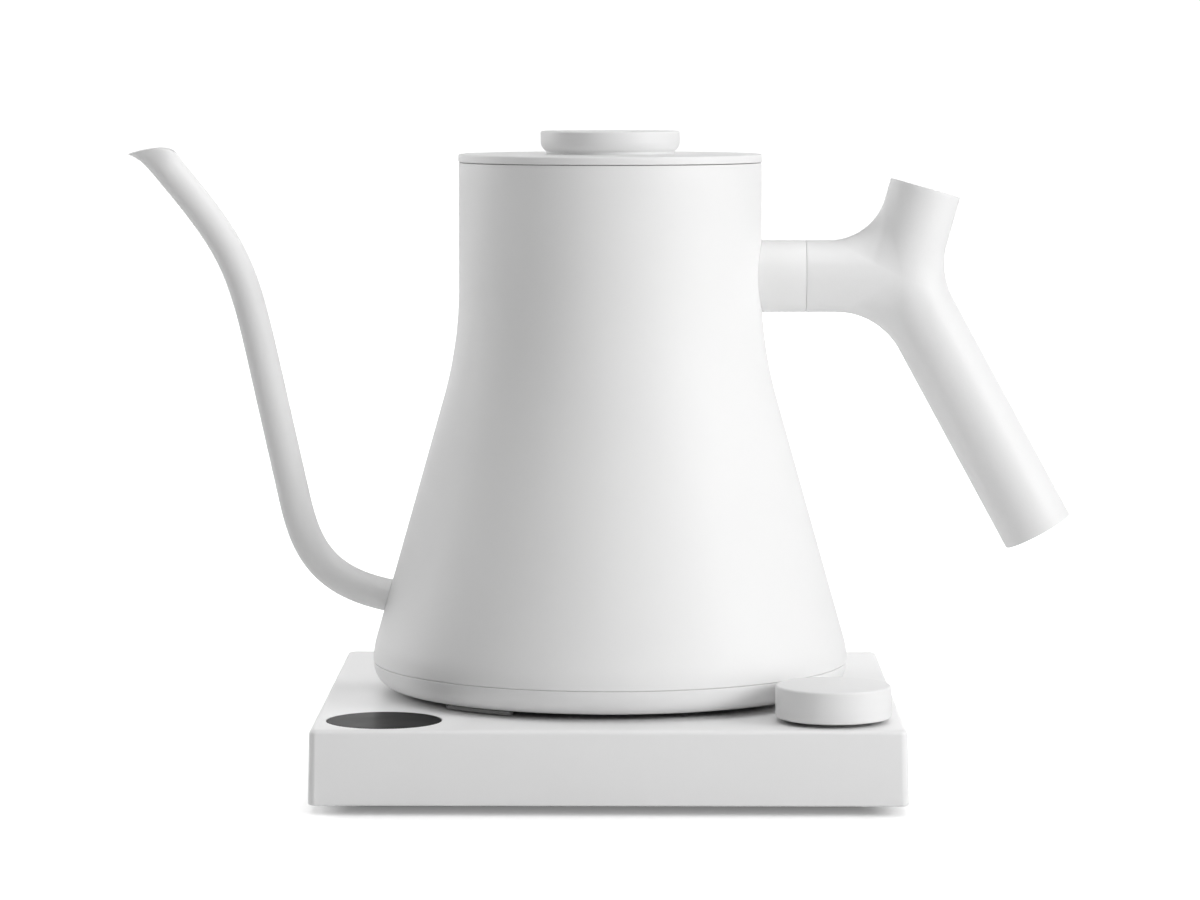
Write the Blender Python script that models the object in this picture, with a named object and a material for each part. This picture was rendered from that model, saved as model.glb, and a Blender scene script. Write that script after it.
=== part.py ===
"""Electric gooseneck kettle standing on its square power base.

Frame: the origin is on the kettle's vertical axis, at the level of the table.
+X points to the handle, -Y to the front edge with the dial and the display, +Z up.
Every part is modelled in world coordinates; parts that move hang on an empty
whose origin lies on their joint's axis.
"""
import math

import bmesh
import bpy
from mathutils import Vector
from mathutils.geometry import interpolate_bezier

MM = 0.001
GAP = 0.3 * MM                      # clearance between parts that touch

# ---- power base
BASE_SIDE_TOP = 172.5 * MM
BASE_SIDE_BOTTOM = 173.3 * MM
BASE_TOP = 24.85 * MM
BASE_SKIRT = 2.8 * MM               # height of the housing's lower edge
BASE_WALL = 2.4 * MM
BASE_CORNER = 2.2 * MM              # corner radius seen from above
BASE_FILLET = 1.4 * MM              # rounding of the top edge
PLINTH_SIDE = 150.0 * MM
PLINTH_UNDERSIDE = 0.8 * MM
COVER_LIP_SIDE = 166.7 * MM
COVER_LIP_TOP = 5.4 * MM
COVER_FLOOR = 2.6 * MM
FOOT_PITCH = 64.0 * MM
FOOT_RADIUS = 6.2 * MM
BASE_SCREW_X = 60.0 * MM
BASE_SCREW_Y = 34.0 * MM
INLET_X = 48.0 * MM                 # cord inlet, in the rear wall
INLET_Z = 12.5 * MM

# ---- display and dial, at the front corners
CONTROL_X = 65.6 * MM               # sideways and forward from the kettle axis
CONTROL_Y = 66.5 * MM
LENS_RADIUS = 16.75 * MM
LENS_THICK = 1.3 * MM
DIAL_RADIUS = 16.95 * MM
DIAL_TOP = 35.5 * MM
DIAL_BOTTOM = 25.8 * MM            # leaves room for the press
SHAFT_RADIUS = 3.0 * MM
BOARD_THICK = 1.6 * MM

# ---- plug-in connector on the kettle axis
HUB_RADIUS = 13.5 * MM
HUB_TOP = 36.0 * MM
HUB_COLLAR = 16.6 * MM
SOCKET_RADIUS = 20.0 * MM
SOCKET_TOP = 40.2 * MM

# ---- kettle vessel
NECK_RADIUS = 46.1 * MM
MOUTH_Z = 186.0 * MM
NECK_END_Z = 149.5 * MM             # the straight neck ends here
CONE_TOP_Z = 114.5 * MM             # the cone begins here
CONE_SLOPE = 0.2825                 # radius gained for each unit down
CONE_REF_Z = 82.85 * MM
CONE_REF_RADIUS = 59.81 * MM
CONE_END_Z = 41.0 * MM
BELLY_RADIUS = 72.5 * MM
SEAM_Z = 34.1 * MM                  # joint between the vessel and its base ring
RING_BOTTOM = 26.6 * MM
RING_FOOT_RADIUS = 66.0 * MM
SHELL_WALL = 1.0 * MM
MOUTH_RADIUS = 42.6 * MM
FLOOR_Z = 44.0 * MM                 # underside of the vessel's floor
KETTLE_SCREW_PITCH = 57.0 * MM      # radius of the cover's screw circle
PROBE_ANGLE = math.radians(200.0)   # place of the temperature probe
PAD_ANGLES = (113.5, 233.5, 353.5)  # middles of the three rest pads, degrees
PAD_HALF_ARC = 10.5                 # degrees

# ---- lid
LID_RADIUS = 46.2 * MM
LID_BOTTOM = 186.3 * MM
LID_TOP = 188.7 * MM
KNOB_RADIUS = 21.2 * MM
KNOB_NECK = 16.8 * MM
KNOB_TOP = 195.7 * MM
VENT_PITCH = 28.0 * MM              # radius of the circle of steam holes

# ---- spout: three Bezier pieces in the X-Z plane
SPOUT_ROOT = (-69.0 * MM, 53.9 * MM)
SPOUT_ROOT_RISE = math.radians(12.3)    # above the horizontal
SPOUT_ROOT_PULL = 23.4 * MM
SPOUT_STEM = (-97.57 * MM, 87.74 * MM)
SPOUT_STEM_LEAN = math.radians(12.4)    # from the vertical
SPOUT_STEM_PULL = 15.2 * MM
SPOUT_STEM_LENGTH = 37.1 * MM
SPOUT_NECK_PULL = 30.1 * MM
SPOUT_END = (-133.5 * MM, 183.0 * MM)
SPOUT_END_LEAN = math.radians(39.9)
SPOUT_END_PULL = 30.4 * MM
SPOUT_RADIUS_ROOT = 5.0 * MM
SPOUT_RADIUS_TIP = 4.75 * MM
SPOUT_WALL = 0.8 * MM
LIP_BACK_X = -132.0 * MM
LIP_SIDE_X = -137.6 * MM
LIP_FRONT_X = -146.7 * MM
LIP_BACK_Z = 189.0 * MM
LIP_SIDE_Z = 190.3 * MM
LIP_FRONT_Z = 188.5 * MM

# ---- handle: three round branches that meet at one point
HANDLE_RADIUS = 11.0 * MM
HANDLE_JOIN = Vector((88.35 * MM, 0.0, 151.6 * MM))
HANDLE_SEAM_X = 59.35 * MM
HORN_LEAN = math.radians(15.6)
HORN_LENGTH = 28.0 * MM
GRIP_LEAN = math.radians(28.6)
GRIP_LENGTH = 88.8 * MM
FILLET_UPPER = 17.5 * MM            # between the stub and the horn
FILLET_LOWER = 22.0 * MM            # between the stub and the grip
FILLET_OUTER = 22.0 * MM            # between the horn and the grip


# ------------------------------------------------------------------ helpers

def clear_scene():
    """Start from an empty scene."""
    for obj in list(bpy.data.objects):
        bpy.data.objects.remove(obj, do_unlink=True)


def make_material(name, color, roughness, metallic=0.0):
    """A Principled material of one colour."""
    mat = bpy.data.materials.new(name)
    mat.use_nodes = True
    shader = mat.node_tree.nodes["Principled BSDF"]
    shader.inputs["Base Color"].default_value = (*color, 1.0)
    shader.inputs["Roughness"].default_value = roughness
    shader.inputs["Metallic"].default_value = metallic
    return mat


def make_axis(name, x, y, parent=None):
    """An empty on a vertical joint axis."""
    empty = bpy.data.objects.new(name, None)
    empty.empty_display_size = 10.0 * MM
    empty.location = (x, y, 0.0)
    bpy.context.scene.collection.objects.link(empty)
    if parent is not None:
        empty.parent = parent
        empty.location = Vector((x, y, 0.0)) - parent.location
    return empty


def finish(name, bm, mat, axis=None, at=(0.0, 0.0, 0.0)):
    """Turn a bmesh into a named object, shaded smooth except at sharp edges."""
    bmesh.ops.recalc_face_normals(bm, faces=bm.faces)
    mesh = bpy.data.meshes.new(name)
    bm.to_mesh(mesh)
    bm.free()
    mesh.shade_smooth()
    mesh.set_sharp_from_angle(angle=math.radians(35.0))
    mesh.materials.append(mat)
    obj = bpy.data.objects.new(name, mesh)
    bpy.context.scene.collection.objects.link(obj)
    obj.location = at
    if axis is not None:
        obj.parent = axis
        obj.location = Vector(at) - axis.matrix_world.translation
    return obj


def arc(cx, cz, radius, start, end, steps):
    """Points on an arc, angles in degrees."""
    points = []
    for i in range(steps + 1):
        angle = math.radians(start + (end - start) * i / steps)
        points.append((cx + radius * math.cos(angle), cz + radius * math.sin(angle)))
    return points


def turned(outline, segments, closed=False):
    """Spin a (radius, height) outline about Z; a closed outline makes a ring."""
    bm = bmesh.new()
    verts = [bm.verts.new((r, 0.0, z)) for r, z in outline]
    edges = [bm.edges.new(pair) for pair in zip(verts, verts[1:])]
    if closed:
        edges.append(bm.edges.new((verts[-1], verts[0])))
    bmesh.ops.spin(bm, geom=verts + edges, cent=(0, 0, 0), axis=(0, 0, 1),
                   angle=2.0 * math.pi, steps=segments, use_merge=True)
    bmesh.ops.remove_doubles(bm, verts=bm.verts, dist=1e-6)
    return bm


def disc_outline(radius, bottom, top, edge=0.0):
    """Outline of a solid disc with an optional chamfer at both rims."""
    return [(0.0, bottom), (radius - edge, bottom), (radius, bottom + edge),
            (radius, top - edge), (radius - edge, top), (0.0, top)] if edge else [
            (0.0, bottom), (radius, bottom), (radius, top), (0.0, top)]


def tube_outline(inner, outer, bottom, top):
    """Outline of a plain ring."""
    return [(inner, bottom), (outer, bottom), (outer, top), (inner, top)]


def skin_loops(loops, cap=True, ring=False):
    """Bridge point loops of equal length in order, and cap both ends."""
    bm = bmesh.new()
    rows = [[bm.verts.new(p) for p in loop] for loop in loops]
    pairs = list(zip(rows, rows[1:]))
    if ring:
        pairs.append((rows[-1], rows[0]))
    for lower, upper in pairs:
        count = len(lower)
        for i in range(count):
            j = (i + 1) % count
            bm.faces.new((lower[i], lower[j], upper[j], upper[i]))
    if cap and not ring:
        bm.faces.new(list(reversed(rows[0])))
        bm.faces.new(rows[-1])
    return bm


def square_loop(side, corner, z, steps=3):
    """A square with rounded corners, as one loop at height z."""
    half = side / 2.0 - corner
    points = []
    for quarter, (sx, sy) in enumerate(((1, 1), (-1, 1), (-1, -1), (1, -1))):
        for x, y in arc(sx * half, sy * half, corner, 90 * quarter, 90 * quarter + 90, steps):
            points.append((x, y, z))
    return points


def sweep(path, radii, sides):
    """A round tube along a 3-D path, with frames that don't twist."""
    tangents = []
    for i in range(len(path)):
        ahead = path[min(i + 1, len(path) - 1)]
        behind = path[max(i - 1, 0)]
        tangents.append((ahead - behind).normalized())
    side = tangents[0].orthogonal().normalized()
    loops = []
    for point, tangent, radius in zip(path, tangents, radii):
        side = (side - tangent * side.dot(tangent)).normalized()
        other = tangent.cross(side)
        loop = []
        for k in range(sides):
            angle = 2.0 * math.pi * k / sides
            loop.append(point + side * radius * math.cos(angle) + other * radius * math.sin(angle))
        loops.append(loop)
    return skin_loops(loops)


def block(size, centre, edge=0.0):
    """A box with chamfered edges."""
    bm = bmesh.new()
    bmesh.ops.create_cube(bm, size=1.0)
    bmesh.ops.scale(bm, vec=size, verts=bm.verts)
    if edge:
        bmesh.ops.bevel(bm, geom=bm.edges[:], offset=edge, segments=1, affect="EDGES")
    bmesh.ops.translate(bm, vec=centre, verts=bm.verts)
    return bm


def moved(bm, x=0.0, y=0.0, z=0.0):
    """The same bmesh, moved."""
    bmesh.ops.translate(bm, vec=(x, y, z), verts=bm.verts)
    return bm


def laid_along_x(bm):
    """The same bmesh, with its Z axis laid along +X."""
    for vert in bm.verts:
        x, y, z = vert.co
        vert.co = (z, y, -x)
    return bm


def tool(name, bm, axis=None):
    """A cutter: kept in the scene as a wire guide, never shown."""
    cutter = finish(name, bm, MATERIALS["guide"], axis)
    cutter.hide_render = True
    cutter.display_type = "WIRE"
    return cutter


def boolean(obj, cutter, operation="DIFFERENCE"):
    """Cut a guide from an object, or join it on."""
    mod = obj.modifiers.new(cutter.name, "BOOLEAN")
    mod.operation = operation
    mod.object = cutter
    mod.solver = "EXACT"
    return mod


# ---------------------------------------------------------------- power base

def housing():
    """The housing with its screw posts and its openings."""
    side_mid = BASE_SIDE_BOTTOM - 0.04 * MM
    loops = [square_loop(BASE_SIDE_BOTTOM - 1.6 * MM, BASE_CORNER, BASE_SKIRT),
             square_loop(side_mid, BASE_CORNER, BASE_SKIRT + 0.8 * MM)]
    for i in range(4):
        angle = math.radians(30.0 * i)
        inset = BASE_FILLET * (1.0 - math.cos(angle))
        z = BASE_TOP - BASE_FILLET * (1.0 - math.sin(angle))
        loops.append(square_loop(BASE_SIDE_TOP - 2.0 * inset, BASE_CORNER, z))
    obj = finish("base_housing", skin_loops(loops), MATERIALS["white_plastic"])
    inner = BASE_SIDE_TOP - 2.0 * BASE_WALL
    hollow = skin_loops([square_loop(inner, 1.2 * MM, BASE_SKIRT - 1.0 * MM),
                         square_loop(inner, 1.2 * MM, BASE_TOP - BASE_WALL)])
    boolean(obj, tool("cut_base_hollow", hollow))
    for i, (x, y) in enumerate(base_screw_places()):
        outline = disc_outline(3.6 * MM, COVER_LIP_TOP + 0.6 * MM, BASE_TOP - 1.2 * MM)
        post = moved(turned(outline, 10), x, y)
        boolean(obj, tool("add_post_%d" % i, post), "UNION")
    for i, (x, y) in enumerate(base_screw_places()):
        pilot = moved(turned(disc_outline(1.8 * MM, 2.0 * MM, 15.0 * MM), 8), x, y)
        boolean(obj, tool("cut_pilot_%d" % i, pilot))
    centre = turned(disc_outline(HUB_COLLAR + GAP, 15.0 * MM, 30.0 * MM), 32)
    boolean(obj, tool("cut_hub_hole", centre))
    recess = moved(turned(disc_outline(LENS_RADIUS + GAP, BASE_TOP - LENS_THICK - GAP, 30.0 * MM), 40),
                   -CONTROL_X, -CONTROL_Y)
    boolean(obj, tool("cut_lens_recess", recess))
    window = moved(turned(disc_outline(14.0 * MM, 15.0 * MM, 30.0 * MM), 20),
                   -CONTROL_X, -CONTROL_Y)
    boolean(obj, tool("cut_lens_window", window))
    shaft = moved(turned(disc_outline(4.6 * MM, 15.0 * MM, 30.0 * MM), 16), CONTROL_X, -CONTROL_Y)
    boolean(obj, tool("cut_shaft_hole", shaft))
    inlet = laid_along_x(turned(disc_outline(4.3 * MM, 78.0 * MM, 92.0 * MM), 20))
    for vert in inlet.verts:
        x, y, z = vert.co
        vert.co = (-y + INLET_X, x, z + INLET_Z)
    boolean(obj, tool("cut_inlet_hole", inlet))
    return obj


def base_screw_places():
    """Plan positions of the four housing screws."""
    return [(sx * BASE_SCREW_X, sy * BASE_SCREW_Y) for sx in (-1, 1) for sy in (-1, 1)]


def bottom_cover():
    """Tray that closes the housing; its lower step is the dark plinth."""
    loops = [square_loop(PLINTH_SIDE, 3.0 * MM, PLINTH_UNDERSIDE),
             square_loop(PLINTH_SIDE, 3.0 * MM, 3.8 * MM),
             square_loop(COVER_LIP_SIDE, 2.0 * MM, 3.8 * MM),
             square_loop(COVER_LIP_SIDE, 2.0 * MM, COVER_LIP_TOP),
             square_loop(146.0 * MM, 2.0 * MM, COVER_LIP_TOP),
             square_loop(146.0 * MM, 2.0 * MM, COVER_FLOOR)]
    obj = finish("base_bottom_cover", skin_loops(loops), MATERIALS["dark_plastic"])
    for i, (x, y) in enumerate(base_screw_places()):
        boss = moved(turned(disc_outline(4.8 * MM, 2.0 * MM, COVER_LIP_TOP), 12), x, y)
        boolean(obj, tool("add_boss_%d" % i, boss), "UNION")
    for i, (x, y) in enumerate(base_screw_places()):
        well = moved(turned([(0.0, 0.0), (3.3 * MM, 0.0), (3.3 * MM, 3.2 * MM), (1.8 * MM, 3.2 * MM),
                             (1.8 * MM, 7.0 * MM), (0.0, 7.0 * MM)], 12), x, y)
        boolean(obj, tool("cut_screw_well_%d" % i, well))
    for i, (x, y) in enumerate(foot_places()):
        seat = moved(turned(disc_outline(FOOT_RADIUS + 0.6 * MM, 0.0, 1.8 * MM), 16), x, y)
        boolean(obj, tool("cut_foot_seat_%d" % i, seat))
    return obj


def foot_places():
    """Plan positions of the four rubber feet."""
    return [(sx * FOOT_PITCH, sy * FOOT_PITCH) for sx in (-1, 1) for sy in (-1, 1)]


def screw(name, head_radius, head_height, shank_radius, length, x, y, z, axis=None):
    """Pan-head screw, driven upwards; z is the underside of its head."""
    outline = [(0.0, z + 0.5 * MM), (0.9 * MM, z + 0.5 * MM), (0.9 * MM, z),
               (head_radius - 0.4 * MM, z), (head_radius, z + 0.4 * MM),
               (head_radius, z + head_height), (shank_radius, z + head_height),
               (shank_radius, z + length - shank_radius), (0.0, z + length)]
    return finish(name, moved(turned(outline, 8), x, y), MATERIALS["screw_steel"], axis)


def base_fasteners_and_feet():
    """Four rubber feet and four screws under the base."""
    for i, (x, y) in enumerate(foot_places()):
        outline = [(0.0, 0.0), (FOOT_RADIUS - 0.5 * MM, 0.0), (FOOT_RADIUS, 0.5 * MM),
                   (FOOT_RADIUS, 1.5 * MM), (0.0, 1.5 * MM)]
        finish("base_foot_%d" % (i + 1), moved(turned(outline, 16), x, y), MATERIALS["rubber"])
    for i, (x, y) in enumerate(base_screw_places()):
        screw("base_screw_%d" % (i + 1), 2.9 * MM, 1.8 * MM, 1.5 * MM, 12.5 * MM, x, y, 1.1 * MM)


def base_connector():
    """Central plug of the base: flange below the deck, boss with a ring groove above."""
    outline = [(2.4 * MM, 15.0 * MM), (12.0 * MM, 15.0 * MM), (12.0 * MM, 19.0 * MM),
               (20.0 * MM, 19.0 * MM), (20.0 * MM, BASE_TOP - BASE_WALL - GAP),
               (HUB_COLLAR, BASE_TOP - BASE_WALL - GAP), (HUB_COLLAR, 26.2 * MM),
               (HUB_RADIUS, 26.8 * MM), (HUB_RADIUS, HUB_TOP - 1.0 * MM),
               (HUB_RADIUS - 1.0 * MM, HUB_TOP), (9.6 * MM, HUB_TOP), (9.6 * MM, 25.0 * MM),
               (6.6 * MM, 25.0 * MM), (6.6 * MM, HUB_TOP), (2.4 * MM, HUB_TOP)]
    finish("base_connector", turned(outline, 32, closed=True), MATERIALS["white_plastic"])
    pin = [(0.0, 12.0 * MM), (2.1 * MM, 12.0 * MM), (2.1 * MM, HUB_TOP - 2.0 * MM),
           (1.0 * MM, HUB_TOP - 2.0 * MM), (1.0 * MM, 28.0 * MM), (0.0, 28.0 * MM)]
    finish("base_contact_tube", turned(pin, 16), MATERIALS["brass"])
    spring = tube_outline(9.0 * MM, 9.4 * MM, 25.3 * MM, 33.5 * MM)
    finish("base_contact_ring", turned(spring, 24, closed=True), MATERIALS["brass"])


def base_electronics():
    """Display, rotary switch, boards and the parts that stand on them."""
    x, y = -CONTROL_X, -CONTROL_Y
    lens = disc_outline(LENS_RADIUS, BASE_TOP - LENS_THICK, BASE_TOP)
    finish("display_lens", moved(turned(lens, 40), x, y), MATERIALS["smoked_lens"])
    screen = [(0.0, 12.4 * MM), (10.5 * MM, 12.4 * MM), (10.5 * MM, 20.6 * MM), (13.6 * MM, 20.6 * MM),
              (13.6 * MM, BASE_TOP - LENS_THICK - 0.5 * MM), (0.0, BASE_TOP - LENS_THICK - 0.5 * MM)]
    finish("display_module", moved(turned(screen, 20), x, y), MATERIALS["dark_plastic"])
    control = block((158.0 * MM, 26.0 * MM, BOARD_THICK), (0.0, -67.0 * MM, 11.3 * MM))
    finish("control_board", control, MATERIALS["board"])
    beeper = turned(disc_outline(6.0 * MM, 12.4 * MM, 18.0 * MM, 0.5 * MM), 20)
    finish("beeper", moved(beeper, -22.0 * MM, -67.0 * MM), MATERIALS["dark_plastic"])
    power = block((104.0 * MM, 40.0 * MM, BOARD_THICK), (0.0, 50.0 * MM, 8.6 * MM))
    finish("power_board", power, MATERIALS["board"])
    relay = block((20.0 * MM, 15.4 * MM, 11.0 * MM), (-36.0 * MM, 50.0 * MM, 15.2 * MM), 0.5 * MM)
    finish("power_relay", relay, MATERIALS["relay_plastic"])
    transformer = block((22.0 * MM, 18.0 * MM, 11.4 * MM), (-4.0 * MM, 52.0 * MM, 15.4 * MM), 0.8 * MM)
    finish("transformer", transformer, MATERIALS["relay_plastic"])
    capacitor = laid_along_x(turned(disc_outline(5.0 * MM, 14.0 * MM, 32.0 * MM, 0.6 * MM), 20))
    finish("smoothing_capacitor", moved(capacitor, 0.0, 44.0 * MM, 15.0 * MM), MATERIALS["dark_plastic"])
    inlet = turned([(0.0, 74.0 * MM), (6.4 * MM, 74.0 * MM), (6.4 * MM, 82.6 * MM), (4.0 * MM, 82.6 * MM),
                    (4.0 * MM, 86.3 * MM), (2.8 * MM, 86.3 * MM), (2.8 * MM, 76.0 * MM),
                    (0.0, 76.0 * MM)], 20)
    for vert in inlet.verts:
        px, py, pz = vert.co
        vert.co = (px + INLET_X, pz, -py + INLET_Z)
    finish("cord_inlet", inlet, MATERIALS["dark_plastic"])


def bezier_path(start, start_pull, end, end_pull, count):
    """Points on one Bezier piece, given its two ends and handles."""
    return interpolate_bezier(start, start + start_pull, end + end_pull, end, count)


def rotary_switch(turn_axis):
    """Encoder body, its turning sleeve, the pressed plunger and the dial on its shaft."""
    x, y = CONTROL_X, -CONTROL_Y
    body = block((14.0 * MM, 14.0 * MM, 6.0 * MM), (x, y, 15.4 * MM), 0.4 * MM)
    encoder = finish("encoder_body", body, MATERIALS["dark_plastic"])
    bore = moved(turned(disc_outline(4.5 * MM, 13.6 * MM, 22.0 * MM), 24), x, y)
    boolean(encoder, tool("cut_encoder_bore", bore))
    plunger = disc_outline(1.8 * MM, 14.5 * MM, 15.6 * MM)
    finish("switch_plunger", moved(turned(plunger, 16), x, y), MATERIALS["brass"])
    sleeve = tube_outline(SHAFT_RADIUS + 0.15 * MM, 4.2 * MM, 17.0 * MM, 24.2 * MM)
    sleeve = moved(turned(sleeve, 24, closed=True), x, y)
    finish("encoder_sleeve", sleeve, MATERIALS["screw_steel"], turn_axis)
    skirt_inner = DIAL_RADIUS - 2.2 * MM
    outline = [(0.0, DIAL_TOP)]
    outline += [(DIAL_RADIUS - 0.6 * MM, DIAL_TOP), (DIAL_RADIUS, DIAL_TOP - 0.6 * MM)]
    outline += [(DIAL_RADIUS, DIAL_BOTTOM + 0.7 * MM), (DIAL_RADIUS - 0.7 * MM, DIAL_BOTTOM)]
    outline += [(skirt_inner, DIAL_BOTTOM), (skirt_inner, DIAL_TOP - 2.4 * MM)]
    outline += [(6.0 * MM, DIAL_TOP - 2.4 * MM), (6.0 * MM, DIAL_BOTTOM + 0.4 * MM)]
    outline += [(SHAFT_RADIUS + GAP, DIAL_BOTTOM + 0.4 * MM), (SHAFT_RADIUS + GAP, DIAL_TOP - 3.0 * MM)]
    outline += [(0.0, DIAL_TOP - 3.0 * MM)]
    finish("dial", moved(turned(outline, 44), x, y), MATERIALS["white_plastic"], turn_axis)
    shaft = disc_outline(SHAFT_RADIUS, 15.9 * MM, DIAL_TOP - 3.3 * MM, 0.3 * MM)
    finish("dial_shaft", moved(turned(shaft, 24), x, y), MATERIALS["screw_steel"], turn_axis)


# -------------------------------------------------------------------- kettle

def vessel_radius(z):
    """Outer radius of the vessel at height z: neck, flare, cone and belly."""
    cone_at_top = CONE_REF_RADIUS + CONE_SLOPE * (CONE_REF_Z - CONE_TOP_Z)
    if z >= NECK_END_Z:
        return NECK_RADIUS
    if z >= CONE_TOP_Z:
        span = NECK_END_Z - CONE_TOP_Z
        t = (NECK_END_Z - z) / span
        gain = cone_at_top - NECK_RADIUS
        end_slope = CONE_SLOPE * span
        return NECK_RADIUS + (3.0 * gain - end_slope) * t * t + (end_slope - 2.0 * gain) * t ** 3
    if z >= CONE_END_Z:
        return CONE_REF_RADIUS + CONE_SLOPE * (CONE_REF_Z - z)
    cone_end = CONE_REF_RADIUS + CONE_SLOPE * (CONE_REF_Z - CONE_END_Z)
    t = (CONE_END_Z - z) / (CONE_END_Z - SEAM_Z)
    fall = CONE_SLOPE * (CONE_END_Z - SEAM_Z)
    return cone_end + fall * t - (fall - (BELLY_RADIUS - cone_end)) * t * t


def vessel_heights(low, high, flare_steps):
    """Heights for the turned outline, closer together on the flare."""
    heights = [low]
    heights += [SEAM_Z + (CONE_END_Z - SEAM_Z) * i / 2 for i in (1, 2)]
    heights += [CONE_TOP_Z + (NECK_END_Z - CONE_TOP_Z) * i / flare_steps for i in range(flare_steps + 1)]
    heights += [high]
    return heights


def kettle_vessel(axis):
    """Single-wall vessel, open at the mouth and underneath."""
    low = SEAM_Z + GAP
    outer = [(vessel_radius(z), z) for z in vessel_heights(low, MOUTH_Z, 6)]
    inner_top = MOUTH_Z - SHELL_WALL
    inner = [(vessel_radius(z) - SHELL_WALL, z) for z in vessel_heights(low, inner_top, 4)]
    rim = [(MOUTH_RADIUS, MOUTH_Z), (MOUTH_RADIUS, inner_top - 2.0 * MM),
           (MOUTH_RADIUS + SHELL_WALL, inner_top - 2.0 * MM), (MOUTH_RADIUS + SHELL_WALL, inner_top)]
    outline = outer + rim + list(reversed(inner))
    obj = finish("kettle_body", turned(outline, 60, closed=True), MATERIALS["white_coat"], axis)
    boolean(obj, tool("cut_spout_hole", spout_hole(), axis))
    return obj


def spout_path(count=(9, 2, 8)):
    """Centreline of the spout, from the vessel wall to the base of the lip."""
    root = Vector((SPOUT_ROOT[0], 0.0, SPOUT_ROOT[1]))
    root_pull = Vector((-math.cos(SPOUT_ROOT_RISE), 0.0, math.sin(SPOUT_ROOT_RISE))) * SPOUT_ROOT_PULL
    stem_dir = Vector((-math.sin(SPOUT_STEM_LEAN), 0.0, math.cos(SPOUT_STEM_LEAN)))
    stem = Vector((SPOUT_STEM[0], 0.0, SPOUT_STEM[1]))
    stem_end = stem + stem_dir * SPOUT_STEM_LENGTH
    end_dir = Vector((-math.sin(SPOUT_END_LEAN), 0.0, math.cos(SPOUT_END_LEAN)))
    end = Vector((SPOUT_END[0], 0.0, SPOUT_END[1]))
    lower = bezier_path(root, root_pull, stem, -stem_dir * SPOUT_STEM_PULL, count[0])
    middle = [stem.lerp(stem_end, i / count[1]) for i in range(1, count[1])]
    upper = bezier_path(stem_end, stem_dir * SPOUT_NECK_PULL, end, -end_dir * SPOUT_END_PULL, count[2])
    return lower + middle + upper


def spout_hole():
    """Cutter for the hole where the spout's bore meets the vessel."""
    direction = Vector((-math.cos(SPOUT_ROOT_RISE), 0.0, math.sin(SPOUT_ROOT_RISE)))
    middle = Vector((SPOUT_ROOT[0], 0.0, SPOUT_ROOT[1]))
    path = [middle - direction * 8.0 * MM, middle + direction * 8.0 * MM]
    return sweep(path, [3.9 * MM] * 2, 16)


def spout_rings(wall, sides):
    """Rings of the spout's outer skin (wall 0) or of its bore."""
    path = spout_path()
    rings = []
    last = len(path) - 1
    for i, point in enumerate(path):
        ahead = path[min(i + 1, last)]
        behind = path[max(i - 1, 0)]
        tangent = (ahead - behind).normalized()
        back = Vector((tangent.z, 0.0, -tangent.x))
        radius = SPOUT_RADIUS_ROOT + (SPOUT_RADIUS_TIP - SPOUT_RADIUS_ROOT) * i / last - wall
        ring = []
        for k in range(sides):
            angle = 2.0 * math.pi * k / sides
            spot = point + back * radius * math.cos(angle) + Vector((0.0, radius * math.sin(angle), 0.0))
            if i == 0:
                spot = slid_to_vessel(spot, tangent)
            ring.append(spot)
        rings.append(ring)
    flow = (path[-1] - path[-2]).normalized()
    return rings + lip_rings(rings[-1], flow, wall, sides)


def slid_to_vessel(spot, direction):
    """Slide a point along the tube until it stands just off the vessel wall."""
    for _ in range(12):
        surplus = math.hypot(spot.x, spot.y) - vessel_radius(spot.z) - GAP
        spot = spot - direction * surplus
    return spot


def lip_rings(start, flow, wall, sides, steps=3):
    """Rings from the round tube out to the beak-shaped pouring lip."""
    rings = []
    for step in range(1, steps + 1):
        t = step / steps
        ring = []
        for k in range(sides):
            c = math.cos(2.0 * math.pi * k / sides)
            s = math.sin(2.0 * math.pi * k / sides)
            ends = (LIP_BACK_X + LIP_FRONT_X) / 2.0
            x = LIP_SIDE_X + (LIP_BACK_X - LIP_FRONT_X) / 2.0 * c + (ends - LIP_SIDE_X) * c * c
            levels = (LIP_BACK_Z + LIP_FRONT_Z) / 2.0
            z = LIP_SIDE_Z + (LIP_BACK_Z - LIP_FRONT_Z) / 2.0 * c + (levels - LIP_SIDE_Z) * c * c
            x -= wall * (c + 0.25)
            y = (SPOUT_RADIUS_TIP - wall) * s
            rim = Vector((x, y, z))
            flare = max(0.0, -c) ** 2
            leave = flow.lerp(Vector((-0.94, 0.0, 0.34)), flare)
            reach = (rim - start[k]).length
            h0 = start[k] + flow * reach * (0.36 + 0.1 * flare)
            h1 = rim - leave * reach * 0.34
            u = 1.0 - t
            ring.append(start[k] * u ** 3 + h0 * 3 * t * u * u + h1 * 3 * t * t * u + rim * t ** 3)
        rings.append(ring)
    return rings


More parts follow.
